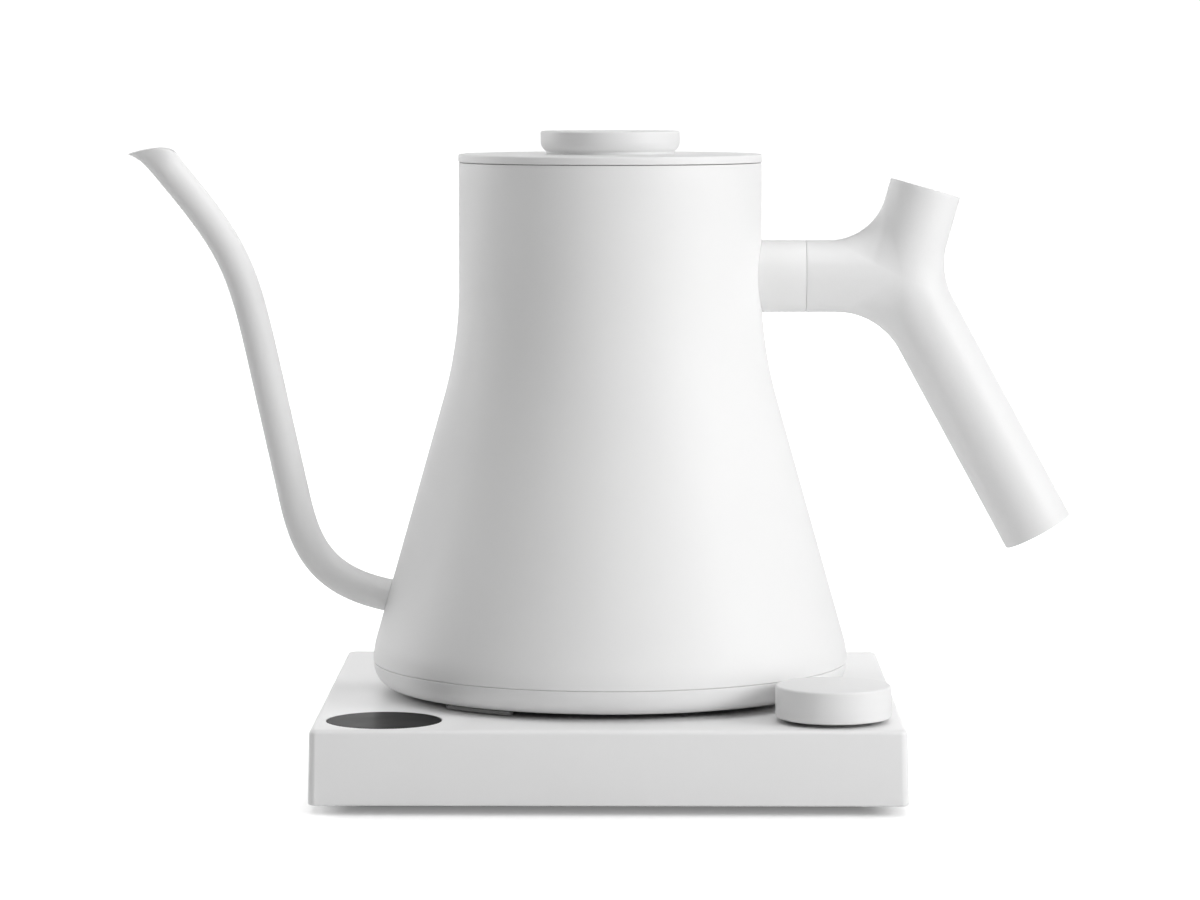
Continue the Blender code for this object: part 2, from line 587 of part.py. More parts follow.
def spout(axis, sides=16):
    """Hollow spout: outer skin out to the lip, then back down the bore."""
    outer = spout_rings(0.0, sides)
    bore = spout_rings(SPOUT_WALL, sides)
    bm = skin_loops(outer + list(reversed(bore)), cap=False, ring=True)
    finish("spout", bm, MATERIALS["white_coat"], axis)
    direction = Vector((-math.cos(SPOUT_ROOT_RISE), 0.0, math.sin(SPOUT_ROOT_RISE)))
    rise = Vector((math.sin(SPOUT_ROOT_RISE), 0.0, math.cos(SPOUT_ROOT_RISE)))
    middle = Vector((SPOUT_ROOT[0], 0.0, SPOUT_ROOT[1])) - direction * 3.4 * MM
    restrictor = turned(tube_outline(1.7 * MM, 3.5 * MM, 0.0, 7.5 * MM), 12, closed=True)
    for vert in restrictor.verts:
        x, y, z = vert.co
        vert.co = middle + rise * x + Vector((0.0, y, 0.0)) + direction * z
    finish("flow_restrictor", restrictor, MATERIALS["silicone"], axis)


def base_ring(axis):
    """Visible ring under the vessel: a spigot inside the shell, and a rounded foot."""
    spigot = BELLY_RADIUS - SHELL_WALL - 0.6 * MM
    outline = [(63.6 * MM, RING_BOTTOM), (RING_FOOT_RADIUS, RING_BOTTOM)]
    bend_x = BELLY_RADIUS - RING_FOOT_RADIUS
    bend_z = SEAM_Z - RING_BOTTOM
    for i in range(1, 5):
        angle = math.radians(90.0 * i / 4)
        outline.append((RING_FOOT_RADIUS + bend_x * math.sin(angle),
                        RING_BOTTOM + bend_z * (1.0 - math.cos(angle))))
    outline += [(spigot, SEAM_Z), (spigot - 0.2 * MM, 39.0 * MM), (spigot - 2.0 * MM, 39.0 * MM),
                (spigot - 2.0 * MM, SEAM_Z), (63.6 * MM, 30.0 * MM)]
    ring = finish("kettle_base_ring", turned(outline, 60, closed=True), MATERIALS["white_plastic"], axis)
    for i, (x, y) in enumerate(kettle_screw_places()):
        angle = math.atan2(y, x)
        lug = turned(disc_outline(3.8 * MM, 31.3 * MM, 38.0 * MM), 10)
        boolean(ring, tool("add_lug_%d" % i, moved(lug, x, y), axis), "UNION")
        web = block((11.0 * MM, 3.0 * MM, 5.4 * MM), (KETTLE_SCREW_PITCH + 6.6 * MM, 0.0, 35.0 * MM))
        for vert in web.verts:
            px, py, pz = vert.co
            vert.co = (px * math.cos(angle) - py * math.sin(angle),
                       px * math.sin(angle) + py * math.cos(angle), pz)
        boolean(ring, tool("add_web_%d" % i, web, axis), "UNION")
    for i, (x, y) in enumerate(kettle_screw_places()):
        pilot = moved(turned(disc_outline(1.7 * MM, 29.0 * MM, 36.6 * MM), 8), x, y)
        boolean(ring, tool("cut_lug_pilot_%d" % i, pilot, axis))
    return ring


def kettle_screw_places():
    """Plan positions of the three screws that hold the kettle's bottom cover."""
    return [(KETTLE_SCREW_PITCH * math.cos(math.radians(a)), KETTLE_SCREW_PITCH * math.sin(math.radians(a)))
            for a in (30, 150, 270)]


def kettle_underside(axis):
    """Bottom cover, its screws, and the three pads the kettle stands on."""
    plate = [(SOCKET_RADIUS + 0.6 * MM, 27.6 * MM), (63.2 * MM, 27.6 * MM), (63.2 * MM, 29.4 * MM),
             (SOCKET_RADIUS + 2.4 * MM, 29.4 * MM), (SOCKET_RADIUS + 2.4 * MM, 32.0 * MM),
             (SOCKET_RADIUS + 0.6 * MM, 32.0 * MM)]
    cover = finish("kettle_bottom_cover", turned(plate, 32, closed=True), MATERIALS["dark_plastic"], axis)
    for i, (x, y) in enumerate(kettle_screw_places()):
        boss = moved(turned(disc_outline(4.4 * MM, 28.5 * MM, 31.0 * MM), 12), x, y)
        boolean(cover, tool("add_cover_boss_%d" % i, boss, axis), "UNION")
    for i, (x, y) in enumerate(kettle_screw_places()):
        well = moved(turned([(0.0, 26.0 * MM), (3.1 * MM, 26.0 * MM), (3.1 * MM, 29.6 * MM),
                             (1.7 * MM, 29.6 * MM), (1.7 * MM, 32.0 * MM), (0.0, 32.0 * MM)], 10), x, y)
        boolean(cover, tool("cut_cover_well_%d" % i, well, axis))
        screw("kettle_screw_%d" % (i + 1), 2.7 * MM, 1.6 * MM, 1.4 * MM, 8.6 * MM, x, y, 27.7 * MM, axis)
    section = tube_outline(64.0 * MM, RING_FOOT_RADIUS, BASE_TOP + GAP, RING_BOTTOM - GAP)
    for i, middle in enumerate(PAD_ANGLES):
        loops = []
        for step in range(7):
            angle = math.radians(middle + PAD_HALF_ARC * (step - 3) / 3)
            c, s = math.cos(angle), math.sin(angle)
            loops.append([(r * c, r * s, z) for r, z in section])
        finish("kettle_rest_pad_%d" % (i + 1), skin_loops(loops), MATERIALS["silicone"], axis)


def kettle_heater(axis):
    """Floor of the vessel with the heater, cut-outs and temperature probe under it."""
    floor_radius = vessel_radius(FLOOR_Z) - SHELL_WALL - 0.5 * MM
    floor_top = FLOOR_Z + 1.0 * MM
    outline = [(0.0, FLOOR_Z), (floor_radius, FLOOR_Z), (floor_radius - 0.3 * MM, floor_top),
               (0.0, floor_top)]
    plate = finish("kettle_floor", turned(outline, 64), MATERIALS["bare_steel"], axis)
    px, py = 57.0 * MM * math.cos(PROBE_ANGLE), 57.0 * MM * math.sin(PROBE_ANGLE)
    hole = moved(turned(disc_outline(2.6 * MM, 40.0 * MM, 50.0 * MM), 16), px, py)
    boolean(plate, tool("cut_probe_hole", hole, axis))
    finish("heat_spreader", turned(disc_outline(52.0 * MM, 41.2 * MM, FLOOR_Z - GAP), 40),
           MATERIALS["aluminium"], axis)
    coil = 40.0 * MM
    path = [Vector((coil * math.cos(math.radians(a)), coil * math.sin(math.radians(a)), 37.4 * MM))
            for a in range(112, 429, 15)]
    drop = Vector((0.0, 0.0, -2.8 * MM))
    onward = [Vector((end.y, -end.x, 0.0)).normalized() * 5.0 * MM for end in (path[0], path[-1])]
    path = [path[0] + drop + onward[0]] + path + [path[-1] + drop - onward[1]]
    finish("heating_element", sweep(path, [3.4 * MM] * len(path), 8), MATERIALS["bare_steel"], axis)
    for name, degrees in (("thermal_cutout", 300.0), ("thermal_fuse", 60.0)):
        a = math.radians(degrees)
        body = disc_outline(6.4 * MM, 34.0 * MM, 40.9 * MM, 0.5 * MM)
        finish(name, moved(turned(body, 20), 28.6 * MM * math.cos(a), 28.6 * MM * math.sin(a)),
               MATERIALS["dark_plastic"], axis)
    probe = [(0.0, 33.0 * MM), (2.0 * MM, 33.0 * MM), (2.0 * MM, 40.0 * MM), (3.8 * MM, 40.0 * MM),
             (3.8 * MM, FLOOR_Z - GAP), (2.2 * MM, FLOOR_Z - GAP), (2.2 * MM, 51.0 * MM),
             (1.2 * MM, 52.0 * MM), (0.0, 52.0 * MM)]
    finish("temperature_probe", moved(turned(probe, 16), px, py), MATERIALS["bare_steel"], axis)
    for i, sign in enumerate((-1, 1)):
        first = Vector((sign * 3.0 * MM, SOCKET_RADIUS + 2.4 * MM, 34.0 * MM))
        last = Vector((sign * 4.6 * MM, 38.0 * MM, 34.6 * MM))
        bow = Vector((-sign * 1.5 * MM, 6.0 * MM, 2.5 * MM))
        lead = bezier_path(first, bow, last, Vector((-sign * 2.0 * MM, -5.0 * MM, 0.0)), 8)
        finish("heater_lead_%d" % (i + 1), sweep(lead, [1.1 * MM] * len(lead), 8), MATERIALS["lead"], axis)


def kettle_connector(axis):
    """Round socket under the kettle; it drops over the plug of the base at any angle."""
    outline = [(0.0, SOCKET_TOP), (SOCKET_RADIUS, SOCKET_TOP), (SOCKET_RADIUS, 27.4 * MM),
               (14.1 * MM, 27.4 * MM), (14.1 * MM, 37.6 * MM), (0.0, 37.6 * MM)]
    finish("kettle_connector", turned(outline, 32), MATERIALS["dark_plastic"], axis)
    pin = [(0.0, 37.3 * MM), (0.7 * MM, 37.3 * MM), (0.7 * MM, 30.0 * MM), (0.0, 29.5 * MM)]
    finish("socket_pin", turned(pin, 12), MATERIALS["brass"], axis)
    blade = tube_outline(7.9 * MM, 8.6 * MM, 29.0 * MM, 37.3 * MM)
    finish("socket_ring_blade", turned(blade, 20, closed=True), MATERIALS["brass"], axis)


# -------------------------------------------------------------------- handle

def branch_directions():
    """Unit directions, away from the meeting point, of the handle's branches."""
    return {"stub": Vector((-1.0, 0.0, 0.0)),
            "horn": Vector((math.sin(HORN_LEAN), 0.0, math.cos(HORN_LEAN))),
            "grip": Vector((math.sin(GRIP_LEAN), 0.0, -math.cos(GRIP_LEAN)))}


def strip_row(first, second, first_length, second_length, fillet, tilt, steps):
    """One line of the handle's skin, running along one branch, round the crotch
    and along the next; tilt 0 is the crotch line, +-90 degrees the crest."""
    offset = HANDLE_RADIUS * math.cos(tilt)
    depth = HANDLE_RADIUS * math.sin(tilt)
    half = first.angle(second) / 2.0
    radius = fillet * math.cos(tilt)
    bisector = (first + second).normalized()
    corner = HANDLE_JOIN + bisector * (offset / math.sin(half))
    centre = HANDLE_JOIN + bisector * ((offset + radius) / math.sin(half))
    start = corner + first * (radius / math.tan(half))
    row = []
    axial = (start - HANDLE_JOIN).dot(first)
    foot = HANDLE_JOIN + first * axial
    side = start - foot
    row.append(HANDLE_JOIN + first * first_length + side)
    for i in range(1, 3):
        row.append(HANDLE_JOIN + first * (first_length + (axial - first_length) * i / 3.0) + side)
    sweep_half = math.pi / 2.0 - half
    for i in range(steps + 1):
        turn = sweep_half * (1.0 - 2.0 * i / steps)
        away = first - second
        away.normalize()
        spoke = -bisector * math.cos(turn) + away * math.sin(turn)
        row.append(centre + spoke * radius)
    end = corner + second * (radius / math.tan(half))
    axial = (end - HANDLE_JOIN).dot(second)
    side = end - (HANDLE_JOIN + second * axial)
    for i in (2, 1):
        row.append(HANDLE_JOIN + second * (second_length + (axial - second_length) * i / 3.0) + side)
    row.append(HANDLE_JOIN + second * second_length + side)
    return [point + Vector((0.0, depth, 0.0)) for point in row]


def handle_grip(axis, around=10, bend=8):
    """Y-shaped grip: three skins that meet along the crests, closed by flat ends."""
    ways = branch_directions()
    reach = {"stub": HANDLE_JOIN.x - HANDLE_SEAM_X - GAP / 2.0, "horn": HORN_LENGTH, "grip": GRIP_LENGTH}
    bm = bmesh.new()
    strips = (("stub", "horn", FILLET_UPPER), ("horn", "grip", FILLET_OUTER), ("grip", "stub", FILLET_LOWER))
    for a, b, fillet in strips:
        rows = []
        for k in range(around + 1):
            tilt = math.radians(-90.0 + 180.0 * k / around)
            line = strip_row(ways[a], ways[b], reach[a], reach[b], fillet, tilt, bend)
            rows.append([bm.verts.new(p) for p in line])
        for lower, upper in zip(rows, rows[1:]):
            for i in range(len(lower) - 1):
                bm.faces.new((lower[i], lower[i + 1], upper[i + 1], upper[i]))
    bmesh.ops.remove_doubles(bm, verts=bm.verts, dist=1e-6)
    bmesh.ops.dissolve_degenerate(bm, dist=1e-7, edges=bm.edges)
    open_edges = [e for e in bm.edges if e.is_boundary]
    bmesh.ops.holes_fill(bm, edges=open_edges, sides=0)
    grip = finish("handle_grip", bm, MATERIALS["white_plastic"], axis)
    bolt_bore = laid_along_x(turned(disc_outline(2.5 * MM, 50.0 * MM, 74.0 * MM), 16))
    boolean(grip, tool("cut_grip_bolt", moved(bolt_bore, 0.0, 0.0, HANDLE_JOIN.z), axis))
    weight_bore = sweep(grip_axis_points(0.42, 1.02), [5.6 * MM] * 2, 16)
    boolean(grip, tool("cut_grip_weight", weight_bore, axis))
    return grip


def grip_axis_points(near, far):
    """Two points on the grip's axis, at the given fractions of its length."""
    way = branch_directions()["grip"]
    return [HANDLE_JOIN + way * GRIP_LENGTH * near, HANDLE_JOIN + way * GRIP_LENGTH * far]


def handle_parts(axis):
    """Stub welded to the neck, the bolt into the grip, the counterweight and its plug."""
    stub = laid_along_x(turned(disc_outline(HANDLE_RADIUS, 40.0 * MM, HANDLE_SEAM_X - GAP / 2.0), 40))
    stub = finish("handle_bracket", moved(stub, 0.0, 0.0, HANDLE_JOIN.z), MATERIALS["white_coat"], axis)
    heights = [120 * MM, 132 * MM, 137 * MM, 141 * MM, 145 * MM, 150 * MM, 170 * MM]
    saddle = [(vessel_radius(z) + GAP, z) for z in heights]
    saddle = [(0.0, heights[0])] + saddle + [(0.0, heights[-1])]
    boolean(stub, tool("cut_bracket_saddle", turned(saddle, 96), axis))
    bore = laid_along_x(turned(disc_outline(2.5 * MM, 52.0 * MM, 70.0 * MM), 16))
    boolean(stub, tool("cut_bracket_bolt", moved(bore, 0.0, 0.0, HANDLE_JOIN.z), axis))
    bolt = laid_along_x(turned(disc_outline(2.2 * MM, 53.0 * MM, 73.5 * MM, 0.4 * MM), 16))
    finish("handle_bolt", moved(bolt, 0.0, 0.0, HANDLE_JOIN.z), MATERIALS["screw_steel"], axis)
    weight = sweep(grip_axis_points(0.43, 0.93), [5.2 * MM] * 2, 16)
    finish("grip_counterweight", weight, MATERIALS["screw_steel"], axis)
    plug = sweep(grip_axis_points(0.94, 1.0), [5.3 * MM] * 2, 24)
    finish("grip_end_plug", plug, MATERIALS["white_plastic"], axis)


# ----------------------------------------------------------------------- lid

def lid(axis):
    """Lid disc, its inner cup with steam holes, the gasket, the knob and its screw."""
    plate = [(2.4 * MM, LID_BOTTOM), (LID_RADIUS - 0.2 * MM, LID_BOTTOM),
             (LID_RADIUS, LID_BOTTOM + 0.2 * MM), (LID_RADIUS, LID_TOP - 0.5 * MM),
             (LID_RADIUS - 0.5 * MM, LID_TOP), (2.4 * MM, LID_TOP)]
    finish("lid_plate", turned(plate, 60, closed=True), MATERIALS["white_coat"], axis)
    cup_top = LID_BOTTOM - GAP
    cup = [(2.4 * MM, 184.5 * MM), (36.8 * MM, 184.5 * MM), (36.8 * MM, 176.0 * MM),
           (38.4 * MM, 176.0 * MM), (38.4 * MM, 178.0 * MM), (40.6 * MM, 178.0 * MM),
           (40.6 * MM, 179.0 * MM), (38.4 * MM, 179.0 * MM), (38.4 * MM, 182.4 * MM),
           (40.6 * MM, 182.4 * MM), (40.6 * MM, cup_top), (2.4 * MM, cup_top)]
    inner = finish("lid_cup", turned(cup, 32, closed=True), MATERIALS["dark_plastic"], axis)
    for i in range(6):
        a = math.radians(60.0 * i)
        vent = turned(disc_outline(2.0 * MM, 180.0 * MM, 190.0 * MM), 10)
        vent = moved(vent, VENT_PITCH * math.cos(a), VENT_PITCH * math.sin(a))
        boolean(inner, tool("cut_vent_%d" % i, vent, axis))
    seal = [(38.7 * MM, 179.3 * MM), (40.4 * MM, 179.3 * MM), (42.3 * MM, 181.4 * MM),
            (40.4 * MM, 182.1 * MM), (38.7 * MM, 182.1 * MM)]
    finish("lid_gasket", turned(seal, 32, closed=True), MATERIALS["silicone"], axis)
    under = KNOB_RADIUS - KNOB_NECK
    knob = [(0.0, KNOB_TOP), (KNOB_RADIUS - 0.5 * MM, KNOB_TOP), (KNOB_RADIUS, KNOB_TOP - 0.5 * MM)]
    for i in range(3, 0, -1):
        a = math.radians(90.0 * i / 3)
        knob.append((KNOB_NECK + under * math.sin(a), LID_TOP + GAP + 3.6 * MM * (1.0 - math.cos(a))))
    knob += [(KNOB_NECK, LID_TOP + GAP), (2.4 * MM, LID_TOP + GAP), (2.4 * MM, KNOB_TOP - 2.2 * MM),
             (0.0, KNOB_TOP - 2.2 * MM)]
    finish("lid_knob", turned(knob, 48), MATERIALS["white_plastic"], axis)
    bolt = [(0.0, 182.6 * MM), (4.6 * MM, 182.6 * MM), (4.6 * MM, 184.2 * MM), (2.1 * MM, 184.2 * MM),
            (2.1 * MM, KNOB_TOP - 2.6 * MM), (0.0, KNOB_TOP - 2.6 * MM)]
    finish("lid_knob_screw", turned(bolt, 16), MATERIALS["screw_steel"], axis)


# ---------------------------------------------------------------------- main

MATERIALS = {}


def main():
    clear_scene()
    MATERIALS.update({
        "white_coat": make_material("white_coat", (0.80, 0.80, 0.80), 0.55),
        "white_plastic": make_material("white_plastic", (0.80, 0.80, 0.80), 0.5),
        "dark_plastic": make_material("dark_plastic", (0.05, 0.05, 0.055), 0.5),
        "relay_plastic": make_material("relay_plastic", (0.07, 0.10, 0.16), 0.45),
        "smoked_lens": make_material("smoked_lens", (0.02, 0.02, 0.022), 0.15),
        "rubber": make_material("rubber", (0.06, 0.06, 0.06), 0.8),
        "silicone": make_material("silicone", (0.55, 0.55, 0.55), 0.6),
        "screw_steel": make_material("screw_steel", (0.6, 0.6, 0.6), 0.35, 1.0),
        "bare_steel": make_material("bare_steel", (0.62, 0.61, 0.6), 0.3, 1.0),
        "aluminium": make_material("aluminium", (0.75, 0.75, 0.76), 0.45, 1.0),
        "brass": make_material("brass", (0.78, 0.6, 0.28), 0.3, 1.0),
        "board": make_material("board", (0.02, 0.16, 0.07), 0.45),
        "lead": make_material("lead", (0.5, 0.06, 0.04), 0.5),
        "guide": make_material("guide", (1.0, 0.3, 0.0), 0.5),
    })
    coupler_axis = make_axis("coupler_axis", 0.0, 0.0)
    kettle_axis = make_axis("kettle_axis", 0.0, 0.0, coupler_axis)
    lid_axis = make_axis("lid_axis", 0.0, 0.0, kettle_axis)
    dial_axis = make_axis("dial_axis", CONTROL_X, -CONTROL_Y)
    bpy.context.view_layer.update()

    housing()
    bottom_cover()
    base_fasteners_and_feet()
    base_connector()
    base_electronics()
    rotary_switch(dial_axis)

    kettle_connector(coupler_axis)
    kettle_vessel(kettle_axis)
    spout(kettle_axis)
    base_ring(kettle_axis)
    kettle_underside(kettle_axis)
    kettle_heater(kettle_axis)
    handle_grip(kettle_axis)
    handle_parts(kettle_axis)
    lid(lid_axis)


main()
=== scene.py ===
"""Looks of the white gooseneck kettle on its square power base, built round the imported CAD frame."""
import math

import bmesh
import bpy
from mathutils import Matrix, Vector
from mathutils.geometry import interpolate_bezier


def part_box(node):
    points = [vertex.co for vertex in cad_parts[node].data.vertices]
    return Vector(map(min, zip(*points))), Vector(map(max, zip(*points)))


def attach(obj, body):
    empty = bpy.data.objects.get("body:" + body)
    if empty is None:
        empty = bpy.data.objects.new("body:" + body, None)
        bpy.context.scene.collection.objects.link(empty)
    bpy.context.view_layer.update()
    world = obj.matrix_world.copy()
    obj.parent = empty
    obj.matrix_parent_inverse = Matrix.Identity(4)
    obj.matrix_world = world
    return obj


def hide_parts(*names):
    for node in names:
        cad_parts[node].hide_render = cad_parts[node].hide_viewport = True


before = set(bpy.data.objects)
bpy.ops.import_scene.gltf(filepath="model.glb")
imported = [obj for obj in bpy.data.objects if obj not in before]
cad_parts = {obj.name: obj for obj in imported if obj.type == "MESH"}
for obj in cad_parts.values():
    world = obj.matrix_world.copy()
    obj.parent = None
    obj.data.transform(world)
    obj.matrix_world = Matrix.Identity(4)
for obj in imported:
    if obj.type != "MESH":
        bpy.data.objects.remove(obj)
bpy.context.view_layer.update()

MM = 0.001
TAU = 2.0 * math.pi

# ------------------------------------------------------------ sizes, read from the frame


def top_of(node):
    """Height of a CAD node's highest point."""
    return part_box(node)[1].z


def bottom_of(node):
    """Height of a CAD node's lowest point."""
    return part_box(node)[0].z


def radius_of(node):
    """Half the width of a round CAD node, along Y."""
    low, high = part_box(node)
    return (high.y - low.y) / 2.0


def centre_of(node):
    """Middle of a CAD node's box."""
    low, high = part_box(node)
    return (low + high) / 2.0


GAP = 0.3 * MM
SEAM = 0.08 * MM                    # visible gap between fixed parts that meet
BASE_TOP = top_of("base_housing")
BASE_SKIRT = bottom_of("base_housing")
BASE_SIDE_BOTTOM = 2.0 * radius_of("base_housing")
BASE_SIDE_TOP = BASE_SIDE_BOTTOM - 0.8 * MM
BASE_WALL = 2.4 * MM
BASE_CORNER = 2.2 * MM
BASE_FILLET = 1.4 * MM
PLINTH_UNDERSIDE = bottom_of("base_bottom_cover")
PLINTH_SIDE = 150.0 * MM
COVER_LIP_SIDE = 2.0 * radius_of("base_bottom_cover")
COVER_LIP_TOP = top_of("base_bottom_cover")
FOOT_RADIUS = radius_of("base_foot_1")
SCREW_WELL = 3.3 * MM

LENS = centre_of("display_lens")
LENS_RADIUS = radius_of("display_lens")
DIAL = centre_of("dial")
DIAL_RADIUS = radius_of("dial")
DIAL_TOP = top_of("dial")
DIAL_BOTTOM = bottom_of("dial")

HUB_TOP = top_of("base_connector")
HUB_RADIUS = 13.5 * MM
HUB_COLLAR = 16.6 * MM
SOCKET_RADIUS = radius_of("kettle_connector")
SOCKET_TOP = top_of("kettle_connector")
SOCKET_BOTTOM = bottom_of("kettle_connector")

MOUTH_Z = top_of("kettle_body")
SEAM_Z = bottom_of("kettle_body") - GAP
RING_BOTTOM = bottom_of("kettle_base_ring")
RING_TOP = top_of("kettle_base_ring")
NECK_RADIUS = 46.1 * MM
NECK_END_Z = 149.5 * MM
CONE_TOP_Z = 114.5 * MM
CONE_SLOPE = 0.2825
CONE_REF_Z = 82.85 * MM
CONE_REF_RADIUS = 59.81 * MM
CONE_END_Z = 41.0 * MM
BELLY_RADIUS = radius_of("kettle_base_ring")
RING_FOOT_RADIUS = 66.0 * MM
SHELL_WALL = 1.0 * MM
MOUTH_RADIUS = 42.6 * MM
FILL_Z = 130.4 * MM                  # 0.9 litres above the floor plate

LID_RADIUS = radius_of("lid_plate")
LID_BOTTOM = bottom_of("lid_plate")
LID_TOP = top_of("lid_plate")
KNOB_RADIUS = radius_of("lid_knob")
KNOB_NECK = 16.8 * MM
KNOB_BOTTOM = bottom_of("lid_knob")
KNOB_TOP = top_of("lid_knob")

SPOUT_ROOT = Vector((-69.0, 0.0, 53.9)) * MM
SPOUT_ROOT_RISE = math.radians(12.3)
SPOUT_ROOT_PULL = 23.4 * MM
SPOUT_STEM = Vector((-97.57, 0.0, 87.74)) * MM
SPOUT_STEM_LEAN = math.radians(12.4)
SPOUT_STEM_PULL = 15.2 * MM
SPOUT_STEM_LENGTH = 37.1 * MM
SPOUT_NECK_PULL = 30.1 * MM
SPOUT_END = Vector((-133.5, 0.0, 183.0)) * MM
SPOUT_END_LEAN = math.radians(39.9)
SPOUT_END_PULL = 30.4 * MM
SPOUT_RADIUS_ROOT = 5.0 * MM
SPOUT_RADIUS_TIP = 4.75 * MM
SPOUT_WALL = 0.8 * MM
LIP_BACK = Vector((-132.0, 0.0, 189.0)) * MM
LIP_SIDE = Vector((-137.6, 0.0, 190.3)) * MM
LIP_FRONT = Vector((-146.7, 0.0, 188.5)) * MM

HANDLE_RADIUS = radius_of("handle_grip")
HANDLE_JOIN = Vector((88.35, 0.0, 151.6)) * MM
HANDLE_SEAM_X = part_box("handle_bracket")[1].x
HORN_LEAN = math.radians(15.6)
HORN_LENGTH = 28.0 * MM
GRIP_LEAN = math.radians(28.6)
GRIP_LENGTH = 88.8 * MM
FILLET_UPPER = 17.5 * MM
FILLET_LOWER = 22.0 * MM
FILLET_OUTER = 22.0 * MM

ROUND = 256                         # segments round the large turned pieces


# ------------------------------------------------------------------------ materials

class Nodes:
    """Small wrapper for building a node material."""

    def __init__(self, name):
        self.mat = bpy.data.materials.new(name)
        self.mat.use_nodes = True
        self.tree = self.mat.node_tree
        self.shader = self.tree.nodes["Principled BSDF"]
        self.coords = self.tree.nodes.new("ShaderNodeTexCoord").outputs["Object"]

    def add(self, kind, inputs=None, **settings):
        """Add a node, set its properties, and fill or link its inputs."""
        node = self.tree.nodes.new(kind)
        for key, value in settings.items():
            setattr(node, key, value)
        for key, value in (inputs or {}).items():
            self.put(node.inputs[key], value)
        return node

    def put(self, socket, value):
        """Link an output to a socket, or set the socket's own value."""
        if isinstance(value, bpy.types.NodeSocket):
            self.tree.links.new(value, socket)
        else:
            socket.default_value = value

    def set(self, **values):
        """Set or link inputs of the shader; underscores stand for spaces."""
        for key, value in values.items():
            self.put(self.shader.inputs[key.replace("_", " ")], value)

    def noise(self, scale, detail=2.0, rough=0.5, coords=None):
        """Noise value at a scale in cycles per metre."""
        node = self.add("ShaderNodeTexNoise", {"Vector": coords or self.coords, "Scale": scale,
                                               "Detail": detail, "Roughness": rough})
        return node.outputs["Fac"]

    def span(self, value, low, high, to_low, to_high):
        """Map a value from one range to another, clamped."""
        node = self.add("ShaderNodeMapRange", {"Value": value, "From Min": low, "From Max": high,
                                               "To Min": to_low, "To Max": to_high})
        return node.outputs["Result"]

    def mix(self, fac, first, second):
        """Mix two colours."""
        node = self.add("ShaderNodeMix", data_type="RGBA")
        self.put(node.inputs[0], fac)
        self.put(node.inputs[6], first)
        self.put(node.inputs[7], second)
        return node.outputs[2]

    def math(self, operation, first, second=0.0):
        """One arithmetic step."""
        node = self.add("ShaderNodeMath", operation=operation)
        self.put(node.inputs[0], first)
        self.put(node.inputs[1], second)
        return node.outputs[0]

    def bump(self, height, distance, strength=1.0, normal=None):
        """Bump from a height map; distance in metres."""
        inputs = {"Height": height, "Distance": distance, "Strength": strength}
        if normal is not None:
            inputs["Normal"] = normal
        return self.add("ShaderNodeBump", inputs).outputs["Normal"]


def grey(value, tint=(1.0, 1.0, 1.0)):
    """An opaque colour from one grey level and a tint."""
    return (value * tint[0], value * tint[1], value * tint[2], 1.0)


def powder_coat():
    """Matte white powder coat: fine orange peel over a very fine grain."""
    n = Nodes("powder_coat_white")
    peel = n.noise(900.0, 2.0, 0.45)
    grain = n.noise(4200.0, 1.0, 0.5)
    cloud = n.noise(22.0, 3.0, 0.55)
    n.set(Base_Color=n.mix(n.span(cloud, 0.3, 0.7, 0.0, 1.0), grey(0.86), grey(0.875, (1.0, 1.0, 0.997))))
    n.set(Roughness=n.span(grain, 0.3, 0.7, 0.52, 0.60))
    n.set(Normal=n.bump(grain, 0.00002, 0.25, n.bump(peel, 0.00004, 0.30)))
    n.shader.inputs["Specular IOR Level"].default_value = 0.42
    n.shader.inputs["Coat Weight"].default_value = 0.04
    n.shader.inputs["Coat Roughness"].default_value = 0.35
    return n.mat


def moulded(name, level, rough, grain_scale, grain_depth, tint=(1.0, 1.0, 1.0), spread=0.02):
    """Moulded plastic with a spark-eroded grain and faint flow marks."""
    n = Nodes(name)
    grain = n.noise(grain_scale, 2.0, 0.55)
    pits = n.add("ShaderNodeTexVoronoi", {"Vector": n.coords, "Scale": grain_scale * 0.55}).outputs["Distance"]
    flow = n.noise(14.0, 2.0, 0.5)
    n.set(Base_Color=n.mix(n.span(flow, 0.3, 0.7, 0.0, 1.0), grey(level * (1.0 - spread), tint), grey(level, tint)))
    n.set(Roughness=n.span(grain, 0.3, 0.7, rough - 0.04, rough + 0.05))
    n.set(Normal=n.bump(grain, grain_depth, 0.35, n.bump(pits, grain_depth, 0.2)))
    n.shader.inputs["Specular IOR Level"].default_value = 0.45
    return n.mat


